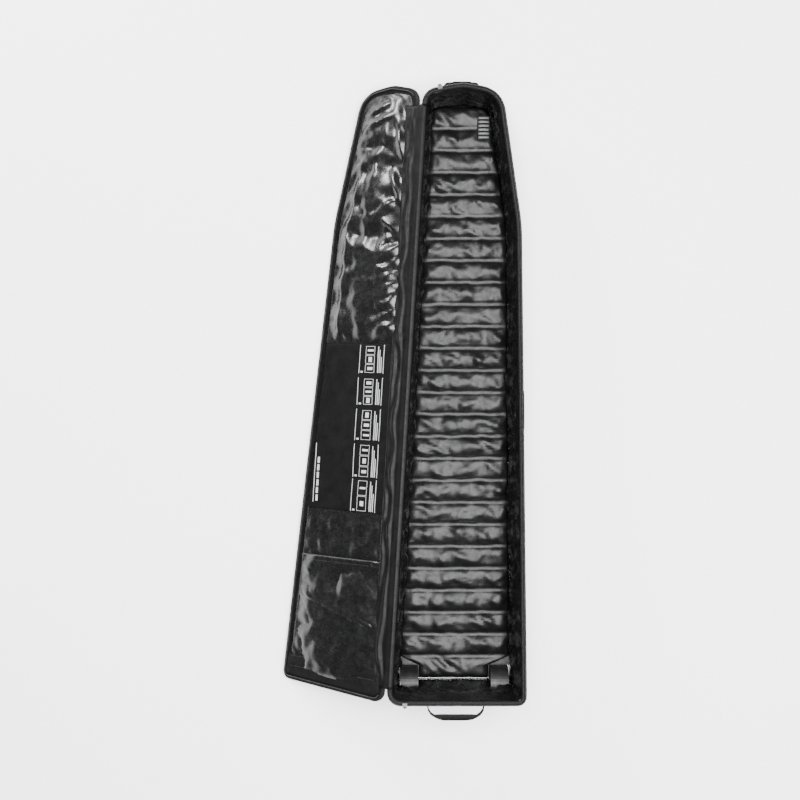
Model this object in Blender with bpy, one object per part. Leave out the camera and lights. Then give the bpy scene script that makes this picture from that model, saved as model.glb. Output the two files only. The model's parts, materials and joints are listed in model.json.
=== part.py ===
"""A long wheeled snowboard bag, lying on its back with its front panel thrown open.

Frame, in metres: +Y runs from the foot end to the head end, +X points away from the
hinged side, and the flat back rests on Z = 0. The rim of the main half is one sloping
plane, deep at the foot and shallow at the head. The front panel (the lid) is drawn
closed over that rim and then turned open about the hinge along the rim's left edge.
"""
import math

import bmesh
import bpy
from mathutils import Matrix, Vector

# Overall sizes
BAG_LENGTH = 1.86
FOOT_WIDTH = 0.410
WAIST_WIDTH = 0.316
HEAD_WIDTH = 0.236
FOOT_DEPTH = 0.250
HEAD_DEPTH = 0.170
WAIST_FROM_HEAD = 0.430
HEAD_SIDEWAYS = 0.022
CROWN_RISE = 0.022
BASE_INSET = 0.020

# Corner radii of the rim, going round from the hinge at the foot
FOOT_HINGE_RADIUS = 0.035
FOOT_OPEN_RADIUS = 0.024
WAIST_RADIUS = 0.600
SHOULDER_RADIUS = 0.080
CROWN_RADIUS = 0.100
HEAD_HINGE_RADIUS = 0.045
SMALLEST_RADIUS = 0.003
ARC_STEPS = 6
SIDE_STEPS = 12

# Fabric and padding
WALL = 0.008
PANEL = 0.010
LINING = 0.0015
LINING_GAP = 0.0006
LINING_DROP = 0.004
SEAM_GAP = 0.0005
RIB_PITCH = 0.070
RIB_HEIGHT = 0.010
RIB_GROOVE = 0.004
CROWN_SHARE = 1.1
SHOULDER_SHARE = 0.8
LINER_EDGE = 0.012
LINER_FOOT_GAP = 0.002
LINER_HEAD_GAP = 0.006
BINDING_HEIGHT = 0.014
BINDING_THICKNESS = 0.003

# Front panel
LID_THICKNESS = 0.010
LID_HINGE_GAP = 0.020
LID_BORDER = 0.030
LID_REST_HEIGHT = 0.001
PIPING = 0.004
LID_LINING = 0.0012
PRINT_PANEL = 0.0015
PRINT_PANEL_START = -0.360
PRINT_PANEL_END = 0.165
POCKET_START = -0.770
POCKET_END = -0.600
POCKET_DEPTH = 0.012
FOOT_PANEL_START = -0.892
FOOT_PANEL_END = -0.800
FOOT_PANEL_DEPTH = 0.008
LID_PIECE_BORDER = 0.036
GUSSET_START = 0.007
GUSSET_END = 0.018

# Zip and its two sliders
TAPE_INSET = 0.001
TAPE_THICKNESS = 0.003
TAPE_HEIGHT = 0.007
SLIDER_LENGTH = 0.014
SLIDER_WALL = 0.003
SLIDER_ROOF = 0.0017
SLIDER_FOOTING = 0.002
SLIDER_CLEARANCE = 0.0006
BAIL_RADIUS = 0.0011
BAIL_REACH = 0.0045
TAB_WIDTH = 0.0075
TAB_LENGTH = 0.021
TAB_THICKNESS = 0.002
TAB_BARREL = 0.0028
TAB_CLEARANCE = 0.0004
TAB_LEAN = 0.10
SLIDER_TO_LID = 0.0007
SLIDER_TO_LID_TAPE = 0.0044

# Wheel end
WHEEL_RADIUS = 0.042
WHEEL_WIDTH = 0.030
WHEEL_SIDE_GAP = 0.003
WHEEL_LIFT = 0.002
WELL_CLEARANCE = 0.005
CHEEK = 0.008
ARCH_WALL = 0.004
TYRE_THICKNESS = 0.011
AXLE_RADIUS = 0.004
AXLE_CLEARANCE = 0.0004
BEARING_WALL = 0.0035
BEARING_WIDTH = 0.007
HUB_RIM = 0.004
HUB_HOLES = 5
HUB_HOLE_RADIUS = 0.0050
HUB_WEB = 0.004
TREAD_SHOULDER = 0.004
TREAD_CROWN = 0.001
HOUSING_OVERHANG = 0.012
FIT_GAP = 0.0003
TRAY_LENGTH = 0.240
TRAY_FOOT_GAP = 0.004
SKID_RAILS = 6
SKID_DEPTH = 0.003

# Handles
FOOT_HANDLE_SPAN = 0.170
FOOT_HANDLE_REACH = 0.050
FOOT_HANDLE_HEIGHT = 0.170
HEAD_HANDLE_SPAN = 0.110
HEAD_HANDLE_REACH = 0.022
HEAD_HANDLE_HEIGHT = 0.075
SIDE_HANDLE_SPAN = 0.240
SIDE_HANDLE_REACH = 0.012
SIDE_HANDLE_HEIGHT = 0.090
SIDE_HANDLE_Y = -0.060
WEBBING_WIDTH = 0.026
ROOT_WIDTHS = (0.40, 0.70, 0.85)
WEBBING_THICKNESS = 0.0035
GRIP_THICKNESS = 0.011
PATCH_THICKNESS = 0.003
PATCH_MARGIN = 0.022
PATCH_EDGE = 0.008
PATCH_STANDOFF = 0.0006
ANCHOR_STEM = 0.006

# Fittings inside the main half, near the head
LOOP_FROM_HEAD = 0.030
LOOP_HEIGHT = 0.055
LOOP_LENGTH = 0.045
LADDER_X = 0.094
LADDER_FROM_HEAD = 0.105
LADDER_WIDTH = 0.040
LADDER_LENGTH = 0.075
LADDER_THICKNESS = 0.002

# Sizes that follow from the ones above
SLIDER_HALF = TAPE_THICKNESS / 2 + SLIDER_CLEARANCE + SLIDER_WALL
SLIDER_TOP = TAPE_HEIGHT + SLIDER_CLEARANCE + SLIDER_ROOF
ZIP_ZONE = SLIDER_TOP + SLIDER_TO_LID
LID_TAPE_INSET = TAPE_INSET + TAPE_THICKNESS / 2 + SLIDER_HALF + SLIDER_TO_LID_TAPE
HALF = BAG_LENGTH / 2
RIM_SLOPE = (HEAD_DEPTH - FOOT_DEPTH) / BAG_LENGTH
RIM_NORMAL = Vector((0.0, -RIM_SLOPE, 1.0)).normalized()

FOOT_HINGE, FOOT_OPEN, WAIST, SHOULDER, CROWN, HEAD_HINGE = range(6)
CORNER_RADII = [
    FOOT_HINGE_RADIUS,
    FOOT_OPEN_RADIUS,
    WAIST_RADIUS,
    SHOULDER_RADIUS,
    CROWN_RADIUS,
    HEAD_HINGE_RADIUS,
]


# ---------------------------------------------------------------- materials

def make_material(name, colour, roughness, metallic=0.0):
    """A plain Principled material."""
    material = bpy.data.materials.new(name)
    material.use_nodes = True
    shader = material.node_tree.nodes["Principled BSDF"]
    shader.inputs["Base Color"].default_value = (*colour, 1.0)
    shader.inputs["Roughness"].default_value = roughness
    shader.inputs["Metallic"].default_value = metallic
    return material


def make_materials():
    """Every finish on the bag."""
    return {
        "shell": make_material("black_woven_shell", (0.012, 0.012, 0.013), 0.75),
        "lining": make_material("black_coated_lining", (0.010, 0.010, 0.011), 0.35),
        "webbing": make_material("black_webbing", (0.014, 0.014, 0.015), 0.80),
        "print": make_material("print_panel_fabric", (0.016, 0.016, 0.017), 0.70),
        "moulding": make_material("black_moulding", (0.020, 0.020, 0.021), 0.50),
        "tyre": make_material("wheel_urethane", (0.030, 0.030, 0.032), 0.60),
        "steel": make_material("zinc_plated_steel", (0.60, 0.61, 0.62), 0.30, 1.0),
        "zip": make_material("black_zip", (0.018, 0.018, 0.019), 0.45),
    }


# ---------------------------------------------------------------- mesh tools

def make_object(name, build, material, location=(0.0, 0.0, 0.0), parent=None, smooth=40.0):
    """One named object from a function that fills a bmesh."""
    mesh = bpy.data.meshes.new(name)
    shape = bmesh.new()
    build(shape)
    bmesh.ops.recalc_face_normals(shape, faces=shape.faces)
    shape.to_mesh(mesh)
    shape.free()
    mesh.materials.append(material)
    mesh.shade_smooth()
    mesh.set_sharp_from_angle(angle=math.radians(smooth))
    piece = bpy.data.objects.new(name, mesh)
    piece.location = location
    piece.parent = parent
    bpy.context.collection.objects.link(piece)
    return piece


def loft(shape, rings, around=True, along=False, caps=True):
    """Skin a row of rings of equal length; `along` joins the last ring to the first."""
    rows = [[shape.verts.new(point) for point in ring] for ring in rings]
    size = len(rows[0])
    pairs = list(zip(rows, rows[1:]))
    if along:
        pairs.append((rows[-1], rows[0]))
    steps = size if around else size - 1
    for low, high in pairs:
        for i in range(steps):
            j = (i + 1) % size
            shape.faces.new((low[i], low[j], high[j], high[i]))
    if caps and not along:
        shape.faces.new(rows[0])
        shape.faces.new(rows[-1])


def box(shape, low, high):
    """An upright box between two corners."""
    ring = [(low[0], low[1]), (high[0], low[1]), (high[0], high[1]), (low[0], high[1])]
    loft(shape, [[(x, y, z) for x, y in ring] for z in (low[2], high[2])])


def disc_ring(radius, x, steps):
    """A circle round the X axis."""
    turns = [2 * math.pi * i / steps for i in range(steps)]
    return [(x, radius * math.cos(turn), radius * math.sin(turn)) for turn in turns]


def turned_ring(shape, profile, steps=40):
    """Revolve a closed profile of (x, radius) points round the X axis."""
    loft(shape, [disc_ring(radius, x, steps) for x, radius in profile], along=True)


def cylinder(shape, x_low, x_high, radius, steps=20, y=0.0, z=0.0):
    """A solid round bar along X."""
    rings = [disc_ring(radius, x, steps) for x in (x_low, x_high)]
    loft(shape, [[(px, py + y, pz + z) for px, py, pz in ring] for ring in rings])


def combine(piece, name, build, operation):
    """Cut a hidden tool shape out of a piece, or join it on."""
    tool = make_object(name, build, piece.data.materials[0], piece.location, piece.parent)
    tool.hide_render = True
    tool.display_type = "WIRE"
    boolean = piece.modifiers.new(name, "BOOLEAN")
    boolean.operation = operation
    boolean.solver = "EXACT"
    boolean.object = tool


def cut(piece, name, build):
    """Cut a hidden tool shape out of a piece."""
    combine(piece, name, build, "DIFFERENCE")


# ---------------------------------------------------------------- the bag's outline

def rim_corners():
    """Corners of the rim seen from above, before rounding."""
    foot_left = Vector((-FOOT_WIDTH / 2, -HALF))
    head_left = Vector((HEAD_SIDEWAYS - HEAD_WIDTH / 2, HALF - CROWN_RISE))
    waist_y = HALF - WAIST_FROM_HEAD
    share = (waist_y - foot_left.y) / (head_left.y - foot_left.y)
    waist_left = foot_left.lerp(head_left, share)
    return [
        foot_left,
        Vector((FOOT_WIDTH / 2, -HALF)),
        Vector((waist_left.x + WAIST_WIDTH, waist_y)),
        Vector((HEAD_SIDEWAYS + HEAD_WIDTH / 2, HALF - CROWN_RISE)),
        Vector((HEAD_SIDEWAYS, HALF)),
        head_left,
    ]


def inset_corners(insets):
    """Move each side of the rim inwards by its own amount; side i follows corner i."""
    corners = rim_corners()
    sides = []
    for i, start in enumerate(corners):
        end = corners[(i + 1) % len(corners)]
        run = (end - start).normalized()
        shift = Vector((-run.y, run.x)) * insets[i]
        sides.append((start + shift, run))
    moved = []
    for i, (point, run) in enumerate(sides):
        before, before_run = sides[i - 1]
        cross = before_run.x * run.y - before_run.y * run.x
        gap = point - before
        moved.append(before + before_run * ((gap.x * run.y - gap.y * run.x) / cross))
    return moved


def outline(inset, hinge_extra=0.0):
    """Rounded outline as one list of points for each corner."""
    insets = [inset] * 5 + [inset + hinge_extra]
    corners = inset_corners(insets)
    arcs = []
    for i, corner in enumerate(corners):
        into = (corner - corners[i - 1]).normalized()
        out = (corners[(i + 1) % len(corners)] - corner).normalized()
        turn = into.angle(out)
        radius = max(CORNER_RADII[i] - inset, SMALLEST_RADIUS)
        reach = radius * math.tan(turn / 2)
        centre = corner - into * reach + Vector((-into.y, into.x)) * radius
        start = math.atan2(-into.x, into.y)
        angles = [start + turn * step / ARC_STEPS for step in range(ARC_STEPS + 1)]
        arcs.append([centre + Vector((math.cos(a), math.sin(a))) * radius for a in angles])
    return arcs


def whole(arcs):
    """The closed outline as a single list."""
    return [point for arc in arcs for point in arc]


def straight_stretch(arcs, first, between, last):
    """From the end of one corner to the start of another, with small seam gaps."""
    points = []
    start = arcs[first][-1]
    for corner in between + [last]:
        end = arcs[corner][0]
        points += [start.lerp(end, step / SIDE_STEPS) for step in range(SIDE_STEPS)]
        if corner == last:
            points.append(end)
        else:
            points += arcs[corner][:-1]
            start = arcs[corner][-1]
    points[0] = points[0] + (points[1] - points[0]).normalized() * SEAM_GAP
    points[-1] = points[-1] + (points[-2] - points[-1]).normalized() * SEAM_GAP
    return points


def left_stretch(arcs):
    """Along the hinged side."""
    return straight_stretch(arcs, HEAD_HINGE, [], FOOT_HINGE)


def right_stretch(arcs):
    """Along the side that unzips."""
    return straight_stretch(arcs, FOOT_OPEN, [WAIST], SHOULDER)


def foot_stretch(arcs):
    """Round the foot end."""
    return arcs[FOOT_HINGE] + arcs[FOOT_OPEN]


def head_stretch(arcs):
    """Round the head end."""
    return arcs[SHOULDER] + arcs[CROWN] + arcs[HEAD_HINGE]


def zip_stretch(arcs):
    """Round the three sides that unzip, from foot hinge corner to head hinge corner."""
    return foot_stretch(arcs) + arcs[WAIST] + head_stretch(arcs)


def rim_height(y):
    """Height of the rim plane above the back."""
    return FOOT_DEPTH + RIM_SLOPE * (y + HALF)


def above_rim(point, lift):
    """A point over the rim plane, at right angles to it."""
    return Vector((point.x, point.y, rim_height(point.y))) + RIM_NORMAL * lift


def span_at(points, y):
    """Lowest and highest X where a closed outline crosses a given Y."""
    hits = []
    for i, start in enumerate(points):
        end = points[(i + 1) % len(points)]
        if (start.y - y) * (end.y - y) <= 0 and start.y != end.y:
            hits.append(start.x + (end.x - start.x) * (y - start.y) / (end.y - start.y))
    return min(hits), max(hits)


def wall_rows(stretch, inset):
    """Pairs of base and rim points down one side of the bag."""
    base = stretch(outline(BASE_INSET + inset))
    rim = stretch(outline(inset))
    pairs = []
    for low, high in zip(base, rim):
        pairs.append((Vector((low.x, low.y, 0.0)), above_rim(high, 0.0)))
    return pairs


def side_strip(shape, stretch, outer, inner, bottom, drop):
    """A leaning wall between two insets, from a height up to a drop below the rim."""
    rings = []
    for outside, inside in zip(wall_rows(stretch, outer), wall_rows(stretch, inner)):
        ring = []
        for (base, rim), is_outside in ((outside, True), (inside, False)):
            low = base.lerp(rim, bottom / rim.z)
            high = base.lerp(rim, 1 - drop / rim.z)
            ring += [low, high] if is_outside else [high, low]
        rings.append(ring)
    loft(shape, rings)


def make_shell(materials):
    """Back panel, four walls and the binding round the rim."""
    tray_front = -HALF + TRAY_LENGTH
    inner = whole(outline(BASE_INSET + WALL + SEAM_GAP))
    low, high = span_at(inner, tray_front + SEAM_GAP)
    ahead = [point for point in inner if point.y > tray_front]
    panel = [Vector((low, tray_front + SEAM_GAP)), Vector((high, tray_front + SEAM_GAP))]
    panel += ahead

    def back(shape):
        loft(shape, [[(p.x, p.y, z) for p in panel] for z in (0.0, PANEL)])

    make_object("back_panel", back, materials["shell"])

    sides = {
        "left_wall": left_stretch,
        "right_wall": right_stretch,
        "head_wall": head_stretch,
        "foot_wall": foot_stretch,
    }
    skin = WALL + LINING_GAP
    floor = PANEL + LINING_GAP
    walls = {}
    for name, stretch in sides.items():
        walls[name] = make_object(
            name,
            lambda shape, s=stretch: side_strip(shape, s, 0.0, WALL, 0.0, 0.0),
            materials["shell"],
        )
        walls[name + "_lining"] = make_object(
            name + "_lining",
            lambda shape, s=stretch: side_strip(shape, s, skin, skin + LINING, floor, LINING_DROP),
            materials["lining"],
        )

    def binding(shape):
        arcs_of = lambda inset: zip_stretch(outline(inset))
        outer = arcs_of(-BINDING_THICKNESS)
        near = arcs_of(-FIT_GAP)
        rings = []
        for far_point, near_point in zip(outer, near):
            rings.append([
                above_rim(far_point, -BINDING_HEIGHT),
                above_rim(far_point, -FIT_GAP),
                above_rim(near_point, -FIT_GAP),
                above_rim(near_point, -BINDING_HEIGHT),
            ])
        loft(shape, rings)

    make_object("rim_binding", binding, materials["webbing"])
    return walls


def housing_limits(side):
    """Lowest and highest corner of a wheel housing; side is -1 or +1."""
    centre = side * wheel_x()
    half = housing_half_width()
    outside = housing_radius()
    low = Vector((centre - half, wheel_y() - HOUSING_OVERHANG, 0.0))
    high = Vector((centre + half, wheel_y() + outside, wheel_z() + outside))
    return low, high


def housing_half_width():
    """Half a wheel housing's width: wheel, room beside it and one cheek."""
    return WHEEL_WIDTH / 2 + WELL_CLEARANCE + CHEEK


def housing_radius():
    """Outer radius of the arch over a wheel."""
    return WHEEL_RADIUS + WELL_CLEARANCE + ARCH_WALL


def wheel_x():
    """The housings stand just inside the linings of the two side walls."""
    inside = whole(outline(BASE_INSET + WALL + LINING_GAP + LINING))
    left, right = span_at(inside, wheel_y() + housing_radius())
    return min(-left, right) - WHEEL_SIDE_GAP - housing_half_width()


def wheel_y():
    """The wheels' centres stand level with the foot end of the base."""
    return -HALF + BASE_INSET


def wheel_z():
    """Height of the wheels' centres."""
    return WHEEL_RADIUS + WHEEL_LIFT


def make_floor_liner(materials):
    """Quilted padding over the back, sewn across into ribs."""
    edge = BASE_INSET + WALL + LINING + 2 * LINING_GAP
    points = whole(outline(edge))
    bottom = PANEL + FIT_GAP
    first = -HALF + edge + LINER_FOOT_GAP
    last = max(point.y for point in points) - LINER_HEAD_GAP
    ribs = max(2, round((last - first) / RIB_PITCH))
    pitch = (last - first) / ribs
    low, high = housing_limits(1)
    gap = SEAM_GAP + LINER_FOOT_GAP

    def station(y, top, crown):
        left, right = span_at(points, y)
        if y < high.y + pitch / 2:
            left = max(left, -low.x + gap)
            right = min(right, low.x - gap)
        return [
            (left, y, bottom),
            (left, y, bottom + top * 0.5),
            (left + LINER_EDGE, y, bottom + top),
            ((left + right) / 2, y, bottom + crown),
            (right - LINER_EDGE, y, bottom + top),
            (right, y, bottom + top * 0.5),
            (right, y, bottom),
        ]

    def liner(shape):
        rings = []
        for rib in range(ribs):
            start = first + rib * pitch
            rings.append(station(start, RIB_GROOVE, RIB_GROOVE))
            for share in (0.12, 0.5, 0.88):
                height = RIB_HEIGHT * (1.0 if share == 0.5 else SHOULDER_SHARE)
                rings.append(station(start + share * pitch, height, height * CROWN_SHARE))
        rings.append(station(last, RIB_GROOVE, RIB_GROOVE))
        loft(shape, rings)

    make_object("floor_liner", liner, materials["lining"])


# ---------------------------------------------------------------- wheel end

def make_wheel_end(materials, walls):
    """Moulded tray with skid rails, two wheel housings and two running wheels."""
    inner = whole(outline(BASE_INSET + WALL + SEAM_GAP))
    back_y = -HALF + BASE_INSET + WALL + SEAM_GAP + TRAY_FOOT_GAP
    front_y = -HALF + TRAY_LENGTH - SEAM_GAP

    def profile(y):
        left, right = span_at(inner, y)
        bays = 2 * SKID_RAILS - 1
        bottom = []
        for bay in range(bays):
            level = 0.0 if bay % 2 == 0 else SKID_DEPTH
            for step in (bay, bay + 1):
                bottom.append((left + (right - left) * step / bays, y, level))
        return bottom + [(right, y, PANEL), (left, y, PANEL)]

    def tray(shape):
        loft(shape, [profile(back_y), profile(front_y)])

    wheel_tray = make_object("wheel_tray", tray, materials["moulding"])
    for side, word in ((-1, "left"), (1, "right")):
        low, high = housing_limits(side)
        reach = Vector((1, 1, 1)) * (2 * FIT_GAP)

        outward = Vector((FOOT_WIDTH / 2, 0, 0))

        def bay(shape, low=low, high=high, reach=reach):
            box(shape, low - reach, high + reach)

        def open_bay(shape, low=low, high=high, reach=reach, side=side, outward=outward):
            box(shape, low - reach - outward * (side < 0), high + reach + outward * (side > 0))

        cut(wheel_tray, "tray_bay_" + word, open_bay)
        for piece in (walls["foot_wall"], walls["foot_wall_lining"]):
            cut(piece, piece.name + "_bay_" + word, bay)
        make_housing(materials, side, word)
        make_wheel(materials, side, word)


def make_housing(materials, side, word):
    """An arch over the wheel with two cheeks that carry the axle."""
    centre = Vector((side * wheel_x(), wheel_y(), wheel_z()))
    low, high = housing_limits(side)

    def arch_rings(radius, back, x_low, x_high, bottom):
        steps = 10
        arc = [math.pi / 2 * step / steps for step in range(steps + 1)]
        path = [(back, bottom), (radius, bottom)]
        path += [(radius * math.cos(a), radius * math.sin(a)) for a in arc]
        path.append((back, radius))
        return [[(x, y, z) for y, z in path] for x in (x_low, x_high)]

    outside = high.y - centre.y
    half = high.x - centre.x
    well = WHEEL_RADIUS + WELL_CLEARANCE
    well_half = half - CHEEK

    def arch(shape):
        loft(shape, arch_rings(outside, low.y - centre.y, -half, half, -centre.z))

    def hollow(shape):
        back = low.y - centre.y - ARCH_WALL
        loft(shape, arch_rings(well, back, -well_half, well_half, -centre.z - ARCH_WALL))

    def bore(shape):
        cylinder(shape, -half - CHEEK, half + CHEEK, AXLE_RADIUS + FIT_GAP)

    housing = make_object("wheel_housing_" + word, arch, materials["moulding"], centre)
    cut(housing, "wheel_well_" + word, hollow)
    cut(housing, "axle_bore_" + word, bore)

    def axle(shape):
        cylinder(shape, -half, half, AXLE_RADIUS)

    make_object("axle_" + word, axle, materials["steel"], centre)


def make_wheel(materials, side, word):
    """Tyre, pierced hub and two bearings, all turning about the axle."""
    centre = (side * wheel_x(), wheel_y(), wheel_z())
    half = WHEEL_WIDTH / 2
    crown = TREAD_SHOULDER
    tread = WHEEL_RADIUS
    below = WHEEL_RADIUS - TREAD_CROWN
    seat = WHEEL_RADIUS - TYRE_THICKNESS

    def tyre(shape):
        turned_ring(shape, [
            (-half, seat), (-half, tread - crown), (-half + crown, below), (0.0, tread),
            (half - crown, below), (half, tread - crown), (half, seat),
        ])

    hub_out = seat - FIT_GAP
    rim_in = hub_out - HUB_RIM
    bearing_in = AXLE_RADIUS + AXLE_CLEARANCE
    bearing_out = bearing_in + BEARING_WALL
    bore = bearing_out + FIT_GAP
    boss = bore + HUB_RIM
    web = HUB_WEB

    def hub(shape):
        turned_ring(shape, [
            (-half, hub_out), (half, hub_out), (half, rim_in), (web, rim_in - TREAD_CROWN),
            (web, boss + TREAD_CROWN), (half, boss), (half, bore), (-half, bore), (-half, boss),
            (-web, boss + TREAD_CROWN), (-web, rim_in - TREAD_CROWN), (-half, rim_in),
        ])

    def windows(shape):
        middle = (boss + rim_in) / 2
        radius = min(HUB_HOLE_RADIUS, (rim_in - boss) / 2 - TREAD_CROWN)
        for hole in range(HUB_HOLES):
            turn = 2 * math.pi * hole / HUB_HOLES
            y = middle * math.cos(turn)
            z = middle * math.sin(turn)
            cylinder(shape, -2 * web, 2 * web, radius, steps=12, y=y, z=z)

    make_object("tyre_" + word, tyre, materials["tyre"], centre)
    wheel_hub = make_object("hub_" + word, hub, materials["moulding"], centre)
    cut(wheel_hub, "hub_windows_" + word, windows)
    for end, place in ((-1, "inner"), (1, "outer")):
        edge = end * side * (half - SEAM_GAP)
        far = edge - math.copysign(BEARING_WIDTH, edge)

        def bearing(shape, edge=edge, far=far):
            turned_ring(shape, [
                (edge, bearing_in), (edge, bearing_out), (far, bearing_out), (far, bearing_in),
            ], steps=24)

        make_object("bearing_" + word + "_" + place, bearing, materials["steel"], centre)


# ---------------------------------------------------------------- handles

def strap_rings(path, across, widths, thicknesses):
    """Rings of a flat strap along a path; `across` is the direction of its width."""
    rings = []
    for i, point in enumerate(path):
        before = path[max(i - 1, 0)]
        after = path[min(i + 1, len(path) - 1)]
        normal = (after - before).cross(across).normalized()
        side = across * (widths[i] / 2)
        off = normal * (thicknesses[i] / 2)
        rings.append([point - side - off, point + side - off, point + side + off, point - side + off])
    return rings


def handle_path(span, reach, along, out, steps=4):
    """A loop that leaves the wall, rounds two corners and runs along its grip."""
    radius = min(reach * 0.7, span * 0.25)
    half = span / 2
    arc = [math.pi / 2 * step / steps for step in range(steps + 1)]
    first = [(-half + radius - radius * math.cos(a), reach - radius + radius * math.sin(a))
             for a in arc]
    flat = [(-half, 0.0)] + first
    flat += [(-x, y) for x, y in reversed(flat)]
    return [along * x + out * y for x, y in flat]


def make_handle(name, materials, centre, along, out, up, span, reach, grip, lean):
    """A webbing handle on its pivot line, and the sewn patch behind it."""
    path = handle_path(span, reach, along, out)
    count = len(path)
    thick = [WEBBING_THICKNESS] * count
    middle = range(count // 2 - 1, count // 2 + 1)
    for i in middle:
        thick[i] = grip
    wide = [WEBBING_WIDTH] * count
    for i, share in enumerate(ROOT_WIDTHS):
        wide[i] = wide[-1 - i] = WEBBING_WIDTH * share

    def strap(shape):
        loft(shape, strap_rings(path, up, wide, thick))

    stem = ANCHOR_STEM + PATCH_THICKNESS
    make_object(name, strap, materials["webbing"], centre + out * stem)

    def patch(shape):
        half_along = span / 2 + PATCH_MARGIN
        half_up = WEBBING_WIDTH / 2 + PATCH_EDGE
        rings = []
        for depth in (0.0, PATCH_THICKNESS):
            ring = []
            for a, b in ((-1, -1), (1, -1), (1, 1), (-1, 1)):
                ring.append(along * (a * half_along) + lean * (b * half_up) + out * depth)
            rings.append(ring)
        loft(shape, rings)

    make_object(name + "_patch", patch, materials["webbing"], centre)


def make_handles(materials):
    """Haul handles at both ends and a carrying handle on the open side."""
    x_axis = Vector((1.0, 0.0, 0.0))
    y_axis = Vector((0.0, 1.0, 0.0))
    z_axis = Vector((0.0, 0.0, 1.0))
    foot_y = -HALF + BASE_INSET * (1 - FOOT_HANDLE_HEIGHT / FOOT_DEPTH)
    foot_lean = Vector((0.0, -BASE_INSET, FOOT_DEPTH)).normalized()
    foot = Vector((0.0, foot_y - PATCH_STANDOFF, FOOT_HANDLE_HEIGHT))
    make_handle("foot_handle", materials, foot, x_axis, -y_axis, z_axis,
                FOOT_HANDLE_SPAN, FOOT_HANDLE_REACH, GRIP_THICKNESS, foot_lean)

    head_y = HALF - BASE_INSET * (1 - HEAD_HANDLE_HEIGHT / HEAD_DEPTH)
    head_lean = Vector((0.0, BASE_INSET, HEAD_DEPTH)).normalized()
    head = Vector((HEAD_SIDEWAYS, head_y + PATCH_STANDOFF, HEAD_HANDLE_HEIGHT))
    make_handle("head_handle", materials, head, x_axis, y_axis, z_axis,
                HEAD_HANDLE_SPAN, HEAD_HANDLE_REACH, WEBBING_THICKNESS, head_lean)

    corners = rim_corners()
    run = (corners[WAIST] - corners[FOOT_OPEN]).normalized()
    share = (SIDE_HANDLE_Y - corners[FOOT_OPEN].y) / (corners[WAIST].y - corners[FOOT_OPEN].y)
    rim_x = corners[FOOT_OPEN].lerp(corners[WAIST], share).x
    depth = rim_height(SIDE_HANDLE_Y)
    side_x = rim_x - BASE_INSET * (1 - SIDE_HANDLE_HEIGHT / depth)
    side_lean = Vector((BASE_INSET, 0.0, depth)).normalized()
    side = Vector((side_x + PATCH_STANDOFF, SIDE_HANDLE_Y, SIDE_HANDLE_HEIGHT))
    along = Vector((run.x, run.y, 0.0))
    out = Vector((run.y, -run.x, 0.0))
    make_handle("side_handle", materials, side, along, out, z_axis,
                SIDE_HANDLE_SPAN, SIDE_HANDLE_REACH, WEBBING_THICKNESS, side_lean)


# ---------------------------------------------------------------- front panel

def hinge_line():
    """A point on the hinge and its direction, from foot to head."""
    corners = rim_corners()
    start = above_rim(corners[FOOT_HINGE], ZIP_ZONE / 2)
    end = above_rim(corners[HEAD_HINGE], ZIP_ZONE / 2)
    return start, (end - start).normalized()


def lid_ring(inset, lift):
    """Closed outline of the front panel at a height over the rim."""
    arcs = outline(inset, hinge_extra=LID_HINGE_GAP)
    return [above_rim(point, lift) for point in whole(arcs)]


def open_angle():
    """How far the front panel turns before its far edge comes down to the ground."""
    start, axis = hinge_line()
    top = lid_ring(0.0, ZIP_ZONE + LID_THICKNESS)
    low, high = math.pi, 1.5 * math.pi
    for _ in range(40):
        middle = (low + high) / 2
        turn = Matrix.Rotation(-middle, 4, axis)
        lowest = min((start + turn @ (point - start)).z for point in top)
        if lowest > LID_REST_HEIGHT:
            low = middle
        else:
            high = middle
    return low


def lid_patch_outline(start_y, end_y, border):
    """Part of the front panel's face between two stations along the bag."""
    points = whole(outline(border, hinge_extra=LID_HINGE_GAP))
    ring = []
    stations = [start_y + (end_y - start_y) * step / 6 for step in range(7)]
    spans = [span_at(points, y) for y in stations]
    ring += [Vector((left, y)) for (left, _), y in zip(spans, stations)]
    ring += [Vector((right, y)) for (_, right), y in reversed(list(zip(spans, stations)))]
    return ring


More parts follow.
